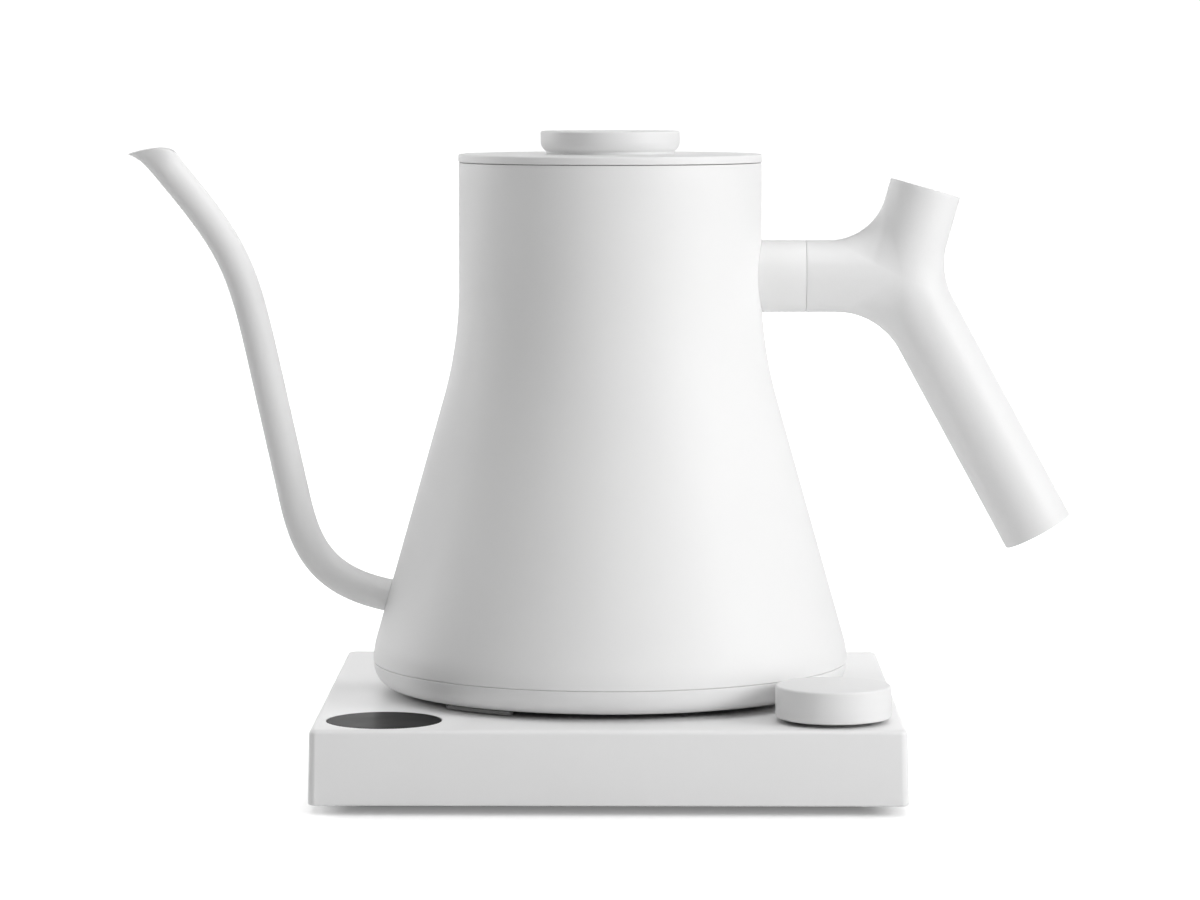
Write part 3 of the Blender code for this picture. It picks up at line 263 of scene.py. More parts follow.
def brushed(name, color, rough, round_axis=True, metallic=1.0):
    """Metal with brush lines that run round the Z axis, or along X."""
    n = Nodes(name)
    if round_axis:
        split = n.add("ShaderNodeSeparateXYZ", {"Vector": n.coords})
        square = n.math("ADD", n.math("POWER", split.outputs[0], 2.0), n.math("POWER", split.outputs[1], 2.0))
        ring = n.math("SQRT", square)
        place = n.add("ShaderNodeCombineXYZ", {"X": ring, "Y": n.math("MULTIPLY", split.outputs[2], 0.8)}).outputs[0]
    else:
        place = n.add("ShaderNodeMapping", {"Vector": n.coords, "Scale": (0.02, 1.0, 1.0)}).outputs[0]
    lines = n.noise(3600.0, 3.0, 0.65, place)
    smudge = n.noise(40.0, 3.0, 0.5)
    n.set(Base_Color=n.mix(n.span(lines, 0.25, 0.75, 0.0, 1.0), [c * 0.86 for c in color] + [1.0], list(color) + [1.0]))
    n.set(Roughness=n.math("ADD", n.span(lines, 0.3, 0.7, rough - 0.06, rough + 0.06),
                           n.span(smudge, 0.35, 0.7, 0.0, 0.06)))
    n.set(Metallic=metallic, Normal=n.bump(lines, 0.00001, 0.5))
    return n.mat


def rubbery(name, color, rough, depth):
    """Rubber or silicone with a dusty, cloudy surface."""
    n = Nodes(name)
    dust = n.noise(60.0, 4.0, 0.6)
    grain = n.noise(2600.0, 2.0, 0.6)
    n.set(Base_Color=n.mix(n.span(dust, 0.35, 0.75, 0.0, 0.35), list(color) + [1.0],
                           [min(1.0, c * 1.5 + 0.03) for c in color] + [1.0]))
    n.set(Roughness=n.span(dust, 0.3, 0.7, rough - 0.05, rough + 0.08))
    n.set(Normal=n.bump(grain, depth, 0.5))
    return n.mat


def smoked_glass():
    """Flush display window: glossy smoked acrylic with faint wipe marks."""
    n = Nodes("smoked_display")
    wipe = n.noise(35.0, 4.0, 0.6)
    dust = n.add("ShaderNodeTexVoronoi", {"Vector": n.coords, "Scale": 700.0}).outputs["Distance"]
    speck = n.span(dust, 0.0, 0.05, 1.0, 0.0)
    n.set(Base_Color=n.mix(speck, grey(0.010, (1.0, 1.0, 1.03)), grey(0.03)))
    n.set(Roughness=n.span(wipe, 0.35, 0.75, 0.30, 0.38))
    n.shader.inputs["Specular IOR Level"].default_value = 0.012
    return n.mat


def circuit_board():
    """Green solder resist with copper tracks just showing through."""
    n = Nodes("circuit_board")
    tracks = n.add("ShaderNodeTexBrick", {"Vector": n.coords, "Scale": 260.0, "Mortar Size": 0.05,
                                          "Color1": (0, 0, 0, 1), "Color2": (0.3, 0.3, 0.3, 1),
                                          "Mortar": (1, 1, 1, 1)}).outputs["Color"]
    weave = n.noise(1500.0, 1.0, 0.5)
    n.set(Base_Color=n.mix(tracks, (0.012, 0.10, 0.045, 1.0), (0.05, 0.23, 0.10, 1.0)))
    n.set(Roughness=n.span(weave, 0.3, 0.7, 0.34, 0.44), Normal=n.bump(tracks, 0.00003, 0.5))
    return n.mat


COAT = powder_coat()
WHITE = moulded("white_moulding", 0.865, 0.50, 2300.0, 0.00003)
BASE_WHITE = moulded("base_moulding", 0.895, 0.42, 1900.0, 0.000025)
DARK = moulded("dark_moulding", 0.035, 0.52, 1700.0, 0.00005, (1.0, 1.0, 1.04), 0.2)
PLINTH = moulded("plinth_moulding", 0.32, 0.6, 1500.0, 0.00005, (1.0, 1.0, 1.01), 0.1)
CUP = moulded("lid_cup_moulding", 0.30, 0.45, 1700.0, 0.00004, (1.0, 1.0, 1.0), 0.06)
BLUE = moulded("relay_moulding", 0.20, 0.4, 1500.0, 0.00004, (0.35, 0.5, 1.0), 0.1)
LINING = brushed("lining_steel", (0.66, 0.65, 0.635), 0.34)
STEEL = brushed("screw_steel", (0.60, 0.60, 0.60), 0.32)
BRASS = brushed("contact_brass", (0.80, 0.60, 0.27), 0.28)
SPREADER = brushed("rolled_aluminium", (0.78, 0.78, 0.79), 0.45, False)
RUBBER = rubbery("foot_rubber", (0.035, 0.035, 0.037), 0.78, 0.00006)
SILICONE = rubbery("grey_silicone", (0.52, 0.52, 0.52), 0.55, 0.00003)
PAD = rubbery("pad_silicone", (0.33, 0.33, 0.33), 0.6, 0.00003)
LEAD = rubbery("lead_sleeve", (0.42, 0.035, 0.03), 0.5, 0.00003)
GLASS = smoked_glass()
BOARD = circuit_board()


# --------------------------------------------------------------------- mesh helpers

def arc(cx, cz, radius, start, end, steps):
    """Points on an arc, angles in degrees."""
    points = []
    for i in range(steps + 1):
        angle = math.radians(start + (end - start) * i / steps)
        points.append((cx + radius * math.cos(angle), cz + radius * math.sin(angle)))
    return points


def rounded(points, radius, steps=4):
    """A closed outline with its corners rounded; a corner may carry its own radius."""
    result = []
    count = len(points)
    for i, corner in enumerate(points):
        bend = corner[2] if len(corner) > 2 else radius
        here = Vector(corner[:2])
        before = Vector(points[i - 1][:2]) - here
        after = Vector(points[(i + 1) % count][:2]) - here
        bend = min(bend, before.length * 0.45, after.length * 0.45)
        if bend <= 0.0 or corner[0] <= 0.0:
            result.append(tuple(here))
            continue
        first = here + before.normalized() * bend
        last = here + after.normalized() * bend
        for k in range(steps + 1):
            t = k / steps
            spot = first * (1 - t) ** 2 + here * 2 * t * (1 - t) + last * t * t
            result.append(tuple(spot))
    return result


def turned(outline, segments=ROUND, closed=True):
    """Spin a (radius, height) outline about Z. An open one starts and ends on the axis."""
    bm = bmesh.new()
    verts = [bm.verts.new((point[0], 0.0, point[1])) for point in outline]
    edges = [bm.edges.new(pair) for pair in zip(verts, verts[1:])]
    if closed:
        edges.append(bm.edges.new((verts[-1], verts[0])))
    bmesh.ops.spin(bm, geom=verts + edges, cent=(0, 0, 0), axis=(0, 0, 1), angle=TAU,
                   steps=segments, use_merge=True)
    bmesh.ops.remove_doubles(bm, verts=bm.verts, dist=1e-7)
    return bm


def skin_loops(loops, ring=False):
    """Bridge point loops of equal length in order; cap the ends unless they form a ring."""
    bm = bmesh.new()
    rows = [[bm.verts.new(p) for p in loop] for loop in loops]
    pairs = list(zip(rows, rows[1:])) + ([(rows[-1], rows[0])] if ring else [])
    for lower, upper in pairs:
        for i in range(len(lower)):
            j = (i + 1) % len(lower)
            bm.faces.new((lower[i], lower[j], upper[j], upper[i]))
    if not ring:
        bm.faces.new(list(reversed(rows[0])))
        bm.faces.new(rows[-1])
    return bm


def square_loop(side, corner, z, steps=10):
    """A square with rounded corners, as one loop at height z."""
    half = side / 2.0 - corner
    points = []
    for quarter, (sx, sy) in enumerate(((1, 1), (-1, 1), (-1, -1), (1, -1))):
        for x, y in arc(sx * half, sy * half, corner, 90 * quarter, 90 * quarter + 90, steps):
            points.append((x, y, z))
    return points


def moved(bm, x=0.0, y=0.0, z=0.0):
    """The same bmesh, moved."""
    bmesh.ops.translate(bm, vec=(x, y, z), verts=bm.verts)
    return bm


def join(bm, *others):
    """Add other bmeshes to the first one."""
    for other in others:
        spare = bpy.data.meshes.new("spare")
        other.to_mesh(spare)
        other.free()
        bm.from_mesh(spare)
        bpy.data.meshes.remove(spare)
    return bm


def to_mesh_object(name, bm):
    """A plain object from a bmesh."""
    bmesh.ops.recalc_face_normals(bm, faces=bm.faces)
    mesh = bpy.data.meshes.new(name)
    bm.to_mesh(mesh)
    bm.free()
    obj = bpy.data.objects.new(name, mesh)
    bpy.context.scene.collection.objects.link(obj)
    return obj


def apply_modifiers(obj):
    """Replace the object's mesh with its evaluated mesh."""
    bpy.context.view_layer.update()
    graph = bpy.context.evaluated_depsgraph_get()
    mesh = bpy.data.meshes.new_from_object(obj.evaluated_get(graph), depsgraph=graph)
    obj.modifiers.clear()
    obj.data = mesh


def piece(name, bm, material, body, node, cuts=(), bevel=0.0, smooth=35.0):
    """A finished visible piece that rides on a body and stands for a CAD node."""
    obj = to_mesh_object(name, bm)
    for i, cutter in enumerate(cuts):
        tool = to_mesh_object("%s_cut_%d" % (name, i), cutter)
        mod = obj.modifiers.new("cut", "BOOLEAN")
        mod.object = tool
        mod.solver = "EXACT"
        apply_modifiers(obj)
        bpy.data.objects.remove(tool, do_unlink=True)
    if bevel:
        mod = obj.modifiers.new("edge", "BEVEL")
        mod.width = bevel
        mod.segments = 3
        mod.limit_method = "ANGLE"
        mod.angle_limit = math.radians(45.0)
        apply_modifiers(obj)
    obj.data.shade_smooth()
    obj.data.set_sharp_from_angle(angle=math.radians(smooth))
    obj.data.materials.clear()
    obj.data.materials.append(material)
    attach(obj, body)
    if node:
        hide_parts(node)
    return obj


def drum(radius, low, high, x=0.0, y=0.0, segments=64):
    """A plain drum, used as a cutter."""
    return moved(turned([(0.0, low), (radius, low), (radius, high), (0.0, high)], segments, False), x, y)


# -------------------------------------------------------------------------- vessel

def vessel_radius(z):
    """Outer radius of the vessel at height z: neck, flare, cone and belly."""
    cone_at_top = CONE_REF_RADIUS + CONE_SLOPE * (CONE_REF_Z - CONE_TOP_Z)
    if z >= NECK_END_Z:
        return NECK_RADIUS
    if z >= CONE_TOP_Z:
        span = NECK_END_Z - CONE_TOP_Z
        t = (NECK_END_Z - z) / span
        gain = cone_at_top - NECK_RADIUS
        end_slope = CONE_SLOPE * span
        return NECK_RADIUS + (3.0 * gain - end_slope) * t * t + (end_slope - 2.0 * gain) * t ** 3
    if z >= CONE_END_Z:
        return CONE_REF_RADIUS + CONE_SLOPE * (CONE_REF_Z - z)
    cone_end = CONE_REF_RADIUS + CONE_SLOPE * (CONE_REF_Z - CONE_END_Z)
    t = (CONE_END_Z - z) / (CONE_END_Z - SEAM_Z)
    fall = CONE_SLOPE * (CONE_END_Z - SEAM_Z)
    return cone_end + fall * t - (fall - (BELLY_RADIUS - cone_end)) * t * t


def steps_between(low, high, count):
    """Evenly spaced heights, ends included."""
    return [low + (high - low) * i / count for i in range(count + 1)]


def vessel():
    """Coated outside and bare steel lining, with a rolled mouth and a fill bead."""
    low = SEAM_Z + SEAM
    edge = 0.2 * MM
    top = MOUTH_Z + 0.1 * MM
    heights = steps_between(low + edge, CONE_END_Z, 8) + steps_between(CONE_END_Z, CONE_TOP_Z, 12)[1:]
    heights += steps_between(CONE_TOP_Z, NECK_END_Z, 24)[1:] + steps_between(NECK_END_Z, top - edge, 6)[1:]
    outer = [(vessel_radius(low) - edge, low)] + [(vessel_radius(z), z) for z in heights]
    outer += arc(NECK_RADIUS - edge, top - edge, edge, 30, 90, 2)
    rolled = MOUTH_Z - 3.0 * MM
    lip = arc(MOUTH_RADIUS + 0.5 * MM, top - 0.5 * MM, 0.5 * MM, 90, 180, 4)
    lip += arc(MOUTH_RADIUS + 0.5 * MM, rolled + 0.5 * MM, 0.5 * MM, 180, 360, 6)
    lip += [(MOUTH_RADIUS + 1.0 * MM, MOUTH_Z - SHELL_WALL)]
    inner = [(NECK_RADIUS - SHELL_WALL, MOUTH_Z - SHELL_WALL)]
    inner += [(vessel_radius(z) - SHELL_WALL, z) for z in reversed(heights) if FILL_Z + 1.0 * MM < z <= NECK_END_Z]
    for rise, proud in ((0.8, 0.0), (0.0, 0.35), (-0.8, 0.0)):
        z = FILL_Z + rise * MM
        inner.append((vessel_radius(z) - SHELL_WALL - proud * MM, z))
    inner += [(vessel_radius(z) - SHELL_WALL, z) for z in reversed(heights) if z < FILL_Z - 1.0 * MM]
    hole = straight_tube([SPOUT_ROOT - spout_out() * 8 * MM, SPOUT_ROOT + spout_out() * 8 * MM], 3.9 * MM)
    obj = piece("vessel", turned(outer + lip + inner), COAT, "kettle", "kettle_body", [hole], smooth=40.0)
    obj.data.materials.append(LINING)
    for face in obj.data.polygons:
        spot = face.center
        reach = math.hypot(spot.x, spot.y)
        if reach < vessel_radius(spot.z) - 0.5 * MM and spot.z < MOUTH_Z - 0.2 * MM:
            face.material_index = 1


def base_ring():
    """Rounded ring that closes the foot of the vessel."""
    spigot = BELLY_RADIUS - SHELL_WALL - 0.6 * MM
    bend_x = BELLY_RADIUS - RING_FOOT_RADIUS
    bend_z = SEAM_Z - RING_BOTTOM
    outline = [(63.6 * MM, RING_BOTTOM)]
    for i in range(19):
        angle = math.radians(85.0 * i / 18)
        outline.append((RING_FOOT_RADIUS + bend_x * math.sin(angle), RING_BOTTOM + bend_z * (1.0 - math.cos(angle))))
    outline += arc(BELLY_RADIUS - 0.2 * MM, SEAM_Z - 0.2 * MM, 0.2 * MM, 20, 90, 4)
    outline += [(spigot, SEAM_Z), (spigot - 0.2 * MM, RING_TOP), (spigot - 2.0 * MM, RING_TOP),
                (spigot - 2.0 * MM, SEAM_Z), (63.6 * MM, 30.0 * MM)]
    piece("foot_ring", turned(outline), WHITE, "kettle", "kettle_base_ring", smooth=30.0)


# --------------------------------------------------------------------------- spout

def spout_out():
    """Direction in which the spout leaves the vessel."""
    return Vector((-math.cos(SPOUT_ROOT_RISE), 0.0, math.sin(SPOUT_ROOT_RISE)))


def spout_path():
    """Centreline of the spout, from the vessel wall to the base of the lip."""
    stem_way = Vector((-math.sin(SPOUT_STEM_LEAN), 0.0, math.cos(SPOUT_STEM_LEAN)))
    end_way = Vector((-math.sin(SPOUT_END_LEAN), 0.0, math.cos(SPOUT_END_LEAN)))
    stem_end = SPOUT_STEM + stem_way * SPOUT_STEM_LENGTH
    lower = interpolate_bezier(SPOUT_ROOT, SPOUT_ROOT + spout_out() * SPOUT_ROOT_PULL,
                               SPOUT_STEM - stem_way * SPOUT_STEM_PULL, SPOUT_STEM, 40)
    middle = [SPOUT_STEM.lerp(stem_end, i / 10) for i in range(1, 10)]
    upper = interpolate_bezier(stem_end, stem_end + stem_way * SPOUT_NECK_PULL,
                               SPOUT_END - end_way * SPOUT_END_PULL, SPOUT_END, 44)
    return lower + middle + upper


def straight_tube(path, radius, sides=48):
    """A straight or planar tube of one radius."""
    loops = []
    for i, point in enumerate(path):
        tangent = (path[min(i + 1, len(path) - 1)] - path[max(i - 1, 0)]).normalized()
        back = Vector((tangent.z, 0.0, -tangent.x))
        loops.append([point + back * radius * math.cos(TAU * k / sides)
                      + Vector((0.0, radius * math.sin(TAU * k / sides), 0.0)) for k in range(sides)])
    return skin_loops(loops)


def rim_point(angle, wall):
    """Point on the pouring lip; angle 0 is its back, half a turn its front."""
    c, s = math.cos(angle), math.sin(angle)
    mean = (LIP_BACK + LIP_FRONT) / 2.0
    spot = LIP_SIDE + (LIP_BACK - LIP_FRONT) / 2.0 * c + (mean - LIP_SIDE) * c * c
    spot.x -= wall * (c + 0.25)
    spot.y = (SPOUT_RADIUS_TIP - wall) * s
    return spot


def spout_rings(wall, sides):
    """Rings of the outer skin (wall 0) or of the bore, from the root to the lip."""
    path = spout_path()
    last = len(path) - 1
    rings = []
    for i, point in enumerate(path):
        tangent = (path[min(i + 1, last)] - path[max(i - 1, 0)]).normalized()
        back = Vector((tangent.z, 0.0, -tangent.x))
        radius = SPOUT_RADIUS_ROOT + (SPOUT_RADIUS_TIP - SPOUT_RADIUS_ROOT) * i / last - wall
        ring = []
        for k in range(sides):
            spot = point + back * radius * math.cos(TAU * k / sides)
            spot.y += radius * math.sin(TAU * k / sides)
            if i == 0:
                for _ in range(12):
                    spot = spot - tangent * (math.hypot(spot.x, spot.y) - vessel_radius(spot.z) - 0.05 * MM)
            ring.append(spot)
        rings.append(ring)
    flow = (path[-1] - path[-2]).normalized()
    start = rings[-1]
    for step in range(1, 17):
        t = step / 16.0
        u = 1.0 - t
        ring = []
        for k in range(sides):
            angle = TAU * k / sides
            rim = rim_point(angle, wall)
            flare = max(0.0, -math.cos(angle)) ** 2
            leave = flow.lerp(Vector((-0.94, 0.0, 0.34)), flare)
            reach = (rim - start[k]).length
            near = start[k] + flow * reach * (0.36 + 0.1 * flare)
            far = rim - leave * reach * 0.34
            ring.append(start[k] * u ** 3 + near * 3 * t * u * u + far * 3 * t * t * u + rim * t ** 3)
        rings.append(ring)
    return rings


def spout():
    """Hollow coated spout with a rounded lip, its root ring set on the vessel's wall."""
    sides = 64
    outer = spout_rings(0.0, sides)
    bore = spout_rings(SPOUT_WALL, sides)
    crest = []
    for k in range(sides):
        mid = (outer[-1][k] + bore[-1][k]) / 2.0
        crest.append(mid + Vector((0.0, 0.0, 0.25 * MM)))
    bm = skin_loops(outer + [crest] + list(reversed(bore)), ring=True)
    obj = piece("spout_tube", bm, COAT, "kettle", "spout", smooth=50.0)
    obj.data.materials.append(LINING)
    count = len(outer) + 1
    for index, face in enumerate(obj.data.polygons):
        if index // sides >= count:
            face.material_index = 1


# -------------------------------------------------------------------------- handle

def branch_ways():
    """Unit directions, away from the meeting point, of the handle's branches."""
    return {"stub": Vector((-1.0, 0.0, 0.0)),
            "horn": Vector((math.sin(HORN_LEAN), 0.0, math.cos(HORN_LEAN))),
            "grip": Vector((math.sin(GRIP_LEAN), 0.0, -math.cos(GRIP_LEAN)))}


def strip_row(first, second, reach_first, reach_second, fillet, tilt, bend_steps, straight_steps):
    """One line of the handle's skin: along one branch, round the crotch, along the next."""
    offset = HANDLE_RADIUS * math.cos(tilt)
    half = first.angle(second) / 2.0
    radius = fillet * math.cos(tilt)
    bisector = (first + second).normalized()
    away = (first - second).normalized()
    corner = HANDLE_JOIN + bisector * (offset / math.sin(half))
    centre = HANDLE_JOIN + bisector * ((offset + radius) / math.sin(half))
    row = []
    for way, reach in ((first, reach_first), (second, reach_second)):
        bend_end = corner + way * (radius / math.tan(half))
        axial = (bend_end - HANDLE_JOIN).dot(way)
        side = bend_end - (HANDLE_JOIN + way * axial)
        line = [HANDLE_JOIN + way * (reach + (axial - reach) * i / straight_steps) + side
                for i in range(straight_steps)]
        row.append(line)
    bend = []
    for i in range(bend_steps + 1):
        turn = (math.pi / 2.0 - half) * (1.0 - 2.0 * i / bend_steps)
        bend.append(centre + (-bisector * math.cos(turn) + away * math.sin(turn)) * radius)
    depth = Vector((0.0, HANDLE_RADIUS * math.sin(tilt), 0.0))
    return [point + depth for point in row[0] + bend + list(reversed(row[1]))]


def grip():
    """Y-shaped grip: three skins that meet along the crests, closed by flat ends."""
    ways = branch_ways()
    reach = {"stub": HANDLE_JOIN.x - HANDLE_SEAM_X - GAP, "horn": HORN_LENGTH, "grip": GRIP_LENGTH}
    bm = bmesh.new()
    around = 48
    strips = (("stub", "horn", FILLET_UPPER), ("horn", "grip", FILLET_OUTER), ("grip", "stub", FILLET_LOWER))
    for a, b, fillet in strips:
        rows = []
        for k in range(around + 1):
            tilt = math.radians(-90.0 + 180.0 * k / around)
            line = strip_row(ways[a], ways[b], reach[a], reach[b], fillet, tilt, 28, 12)
            rows.append([bm.verts.new(p) for p in line])
        for lower, upper in zip(rows, rows[1:]):
            for i in range(len(lower) - 1):
                bm.faces.new((lower[i], lower[i + 1], upper[i + 1], upper[i]))
    bmesh.ops.remove_doubles(bm, verts=bm.verts, dist=2e-6)
    bmesh.ops.dissolve_degenerate(bm, dist=1e-7, edges=bm.edges)
    bmesh.ops.holes_fill(bm, edges=[e for e in bm.edges if e.is_boundary], sides=0)
    bore = straight_tube([HANDLE_JOIN + ways["grip"] * GRIP_LENGTH * part for part in (0.42, 1.02)], 5.42 * MM)
    piece("grip", bm, WHITE, "kettle", "handle_grip", [bore], bevel=0.25 * MM, smooth=40.0)


def bracket():
    """Coated stub between the neck and the grip, cut to the curve of the vessel."""
    sides = 128
    loops = []
    for x in (HANDLE_SEAM_X + GAP - SEAM, HANDLE_SEAM_X - 6.0 * MM, None):
        loop = []
        for k in range(sides):
            y = HANDLE_RADIUS * math.cos(TAU * k / sides)
            z = HANDLE_JOIN.z + HANDLE_RADIUS * math.sin(TAU * k / sides)
            wall_x = math.sqrt(vessel_radius(z) ** 2 - y * y) + 0.05 * MM
            loop.append((wall_x if x is None else x, y, z))
        loops.append(loop)
    piece("handle_stub", skin_loops(loops), COAT, "kettle", "handle_bracket", bevel=0.1 * MM, smooth=40.0)


# ----------------------------------------------------------------------------- lid

def lid():
    """Lid disc, knob, inner cup with steam holes, gasket and knob screw."""
    plate = rounded([(2.4 * MM, LID_BOTTOM), (LID_RADIUS, LID_BOTTOM, 0.3 * MM), (LID_RADIUS, LID_TOP, 0.7 * MM),
                     (2.4 * MM, LID_TOP)], 0.0)
    piece("lid_disc", turned(plate), COAT, "lid", "lid_plate", smooth=30.0)
    under = KNOB_RADIUS - KNOB_NECK
    belly = 3.8 * MM
    foot = LID_TOP + 0.02 * MM
    outline = [(0.0, KNOB_TOP)]
    outline += arc(KNOB_RADIUS - 0.6 * MM, KNOB_TOP - 0.6 * MM, 0.6 * MM, 90, 0, 6)
    for i in range(12, 4, -1):
        angle = math.radians(90.0 * i / 12)
        outline.append((KNOB_NECK + under * math.sin(angle), foot + belly * (1.0 - math.cos(angle))))
    outline += [(KNOB_NECK + under * math.sin(math.radians(36.0)), foot + 0.2 * MM), (KNOB_NECK + under * 0.66, foot),
                (2.4 * MM, foot), (2.4 * MM, KNOB_TOP - 2.2 * MM), (0.0, KNOB_TOP - 2.2 * MM)]
    piece("knob", turned(outline, closed=False), WHITE, "lid", "lid_knob", smooth=30.0)
    low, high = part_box("lid_cup")
    rim = (high.x - low.x) / 2.0
    cup = [(2.4 * MM, 184.5 * MM), (36.8 * MM, 184.5 * MM, 1.5 * MM), (36.8 * MM, low.z), (38.4 * MM, low.z),
           (38.4 * MM, 178.0 * MM), (rim, 178.0 * MM), (rim, 179.0 * MM), (38.4 * MM, 179.0 * MM),
           (38.4 * MM, 182.4 * MM), (rim, 182.4 * MM), (rim, high.z), (2.4 * MM, high.z)]
    vents = []
    for i in range(6):
        angle = TAU * i / 6
        vents.append(drum(2.0 * MM, 180 * MM, 190 * MM, 28 * MM * math.cos(angle), 28 * MM * math.sin(angle), 32))
    piece("cup", turned(rounded(cup, 0.25 * MM, 3), 128), CUP, "lid", "lid_cup", vents, smooth=30.0)
    seal = [(38.7 * MM, 179.3 * MM), (40.4 * MM, 179.3 * MM), (42.3 * MM, 181.4 * MM), (40.4 * MM, 182.1 * MM),
            (38.7 * MM, 182.1 * MM)]
    piece("seal", turned(rounded(seal, 0.4 * MM), 128), SILICONE, "lid", "lid_gasket", smooth=50.0)
    bolt = [(0.0, 183.4 * MM), (1.2 * MM, 183.4 * MM), (1.5 * MM, 182.6 * MM), (4.2 * MM, 182.6 * MM),
            (4.6 * MM, 183.0 * MM), (4.6 * MM, 184.2 * MM), (2.1 * MM, 184.2 * MM), (2.1 * MM, KNOB_TOP - 2.6 * MM),
            (0.0, KNOB_TOP - 2.6 * MM)]
    piece("knob_screw", turned(bolt, 48, False), STEEL, "lid", "lid_knob_screw", smooth=30.0)


# ----------------------------------------------------------------------------- base

def housing():
    """Square housing with softened edges, hollow below, with its openings."""
    loops = []
    for x, z in arc(0.0, 0.0, 1.0, -90, 0, 4):
        inset = 0.8 * MM * (1.0 - x)
        loops.append(square_loop(BASE_SIDE_BOTTOM - 2.0 * inset, BASE_CORNER, BASE_SKIRT + 0.8 * MM * (1.0 + z)))
    for x, z in arc(0.0, 0.0, 1.0, 0, 90, 10):
        inset = BASE_FILLET * (1.0 - x)
        corner = max(BASE_CORNER - inset * 0.5, 1.0 * MM)
        loops.append(square_loop(BASE_SIDE_TOP - 2.0 * inset, corner, BASE_TOP - BASE_FILLET * (1.0 - z)))
    inner = BASE_SIDE_TOP - 2.0 * BASE_WALL
    cuts = [skin_loops([square_loop(inner, 1.2 * MM, BASE_SKIRT - 1 * MM), square_loop(inner, 1.2 * MM, BASE_TOP - BASE_WALL)]),
            drum(HUB_COLLAR + GAP, 15 * MM, 30 * MM, segments=128),
            drum(LENS_RADIUS + 0.25 * MM, bottom_of("display_lens") - GAP, 30 * MM, LENS.x, LENS.y, 192),
            drum(14.0 * MM, 15 * MM, 30 * MM, LENS.x, LENS.y, 96),
            drum(4.6 * MM, 15 * MM, 30 * MM, DIAL.x, DIAL.y, 64)]
    inlet = centre_of("cord_inlet")
    hole = drum(4.3 * MM, 78 * MM, 92 * MM, segments=48)
    for vert in hole.verts:
        x, y, z = vert.co
        vert.co = (x + inlet.x, z, -y + inlet.z)
    piece("housing", skin_loops(loops), BASE_WHITE, "power_base", "base_housing", cuts + [hole], smooth=25.0)


def bottom_cover():
    """Dark tray under the base, with screw wells and seats for the feet."""
    edge = 0.3 * MM
    loops = [square_loop(PLINTH_SIDE - 2 * edge, 2.7 * MM, PLINTH_UNDERSIDE),
             square_loop(PLINTH_SIDE, 3.0 * MM, PLINTH_UNDERSIDE + edge),
             square_loop(PLINTH_SIDE, 3.0 * MM, 3.8 * MM),
             square_loop(COVER_LIP_SIDE, 2.0 * MM, 3.8 * MM),
             square_loop(COVER_LIP_SIDE, 2.0 * MM, COVER_LIP_TOP),
             square_loop(146.0 * MM, 2.0 * MM, COVER_LIP_TOP),
             square_loop(146.0 * MM, 2.0 * MM, 2.6 * MM)]
    cuts = []
    for i in range(1, 5):
        screw = centre_of("base_screw_%d" % i)
        foot = centre_of("base_foot_%d" % i)
        cuts.append(drum(SCREW_WELL, 0.0, 2.2 * MM, screw.x, screw.y, 48))
        cuts.append(drum(FOOT_RADIUS + 0.6 * MM, 0.0, 1.8 * MM, foot.x, foot.y, 64))
    piece("plinth", skin_loops(loops), PLINTH, "power_base", "base_bottom_cover", cuts, smooth=30.0)
    for i in range(1, 5):
        foot = centre_of("base_foot_%d" % i)
        outline = [(0.0, 0.35 * MM), (2.2 * MM, 0.35 * MM), (2.5 * MM, 0.0), (FOOT_RADIUS - 0.5 * MM, 0.0)]
        outline += arc(FOOT_RADIUS - 0.5 * MM, 0.5 * MM, 0.5 * MM, -90, 0, 5)
        outline += [(FOOT_RADIUS, 1.5 * MM), (0.0, 1.5 * MM)]
        piece("rubber_foot_%d" % i, moved(turned(outline, 64, False), foot.x, foot.y), RUBBER, "power_base",
              "base_foot_%d" % i, smooth=40.0)


def connector():
    """Central plug of the base, with its ring groove and contacts."""
    outline = [(2.4 * MM, 15.0 * MM), (12.0 * MM, 15.0 * MM), (12.0 * MM, 19.0 * MM), (20.0 * MM, 19.0 * MM),
               (20.0 * MM, BASE_TOP - BASE_WALL - GAP), (HUB_COLLAR, BASE_TOP - BASE_WALL - GAP),
               (HUB_COLLAR, 26.2 * MM, 0.5 * MM), (HUB_RADIUS + 0.4 * MM, 26.8 * MM, 0.4 * MM),
               (HUB_RADIUS, HUB_TOP, 1.2 * MM), (9.6 * MM, HUB_TOP, 0.4 * MM), (9.6 * MM, 25.0 * MM),
               (6.6 * MM, 25.0 * MM), (6.6 * MM, HUB_TOP, 0.4 * MM), (2.4 * MM, HUB_TOP, 0.6 * MM)]
    piece("hub", turned(rounded(outline, 0.0, 5), 128), BASE_WHITE, "power_base", "base_connector",
          smooth=30.0)
    tube_low, tube_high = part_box("base_contact_tube")
    tube = [(0.0, tube_low.z), (2.1 * MM, tube_low.z), (2.1 * MM, tube_high.z - 0.3 * MM), (1.8 * MM, tube_high.z),
            (1.0 * MM, tube_high.z), (1.0 * MM, 28.0 * MM), (0.0, 28.0 * MM)]
    piece("contact_tube", turned(tube, 48, False), BRASS, "power_base", "base_contact_tube", smooth=30.0)
    low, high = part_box("base_contact_ring")
    ring = rounded([(9.0 * MM, low.z), (9.4 * MM, low.z), (9.4 * MM, high.z), (9.0 * MM, high.z)], 0.1 * MM, 2)
    piece("contact_ring", turned(ring, 96), BRASS, "power_base", "base_contact_ring", smooth=40.0)


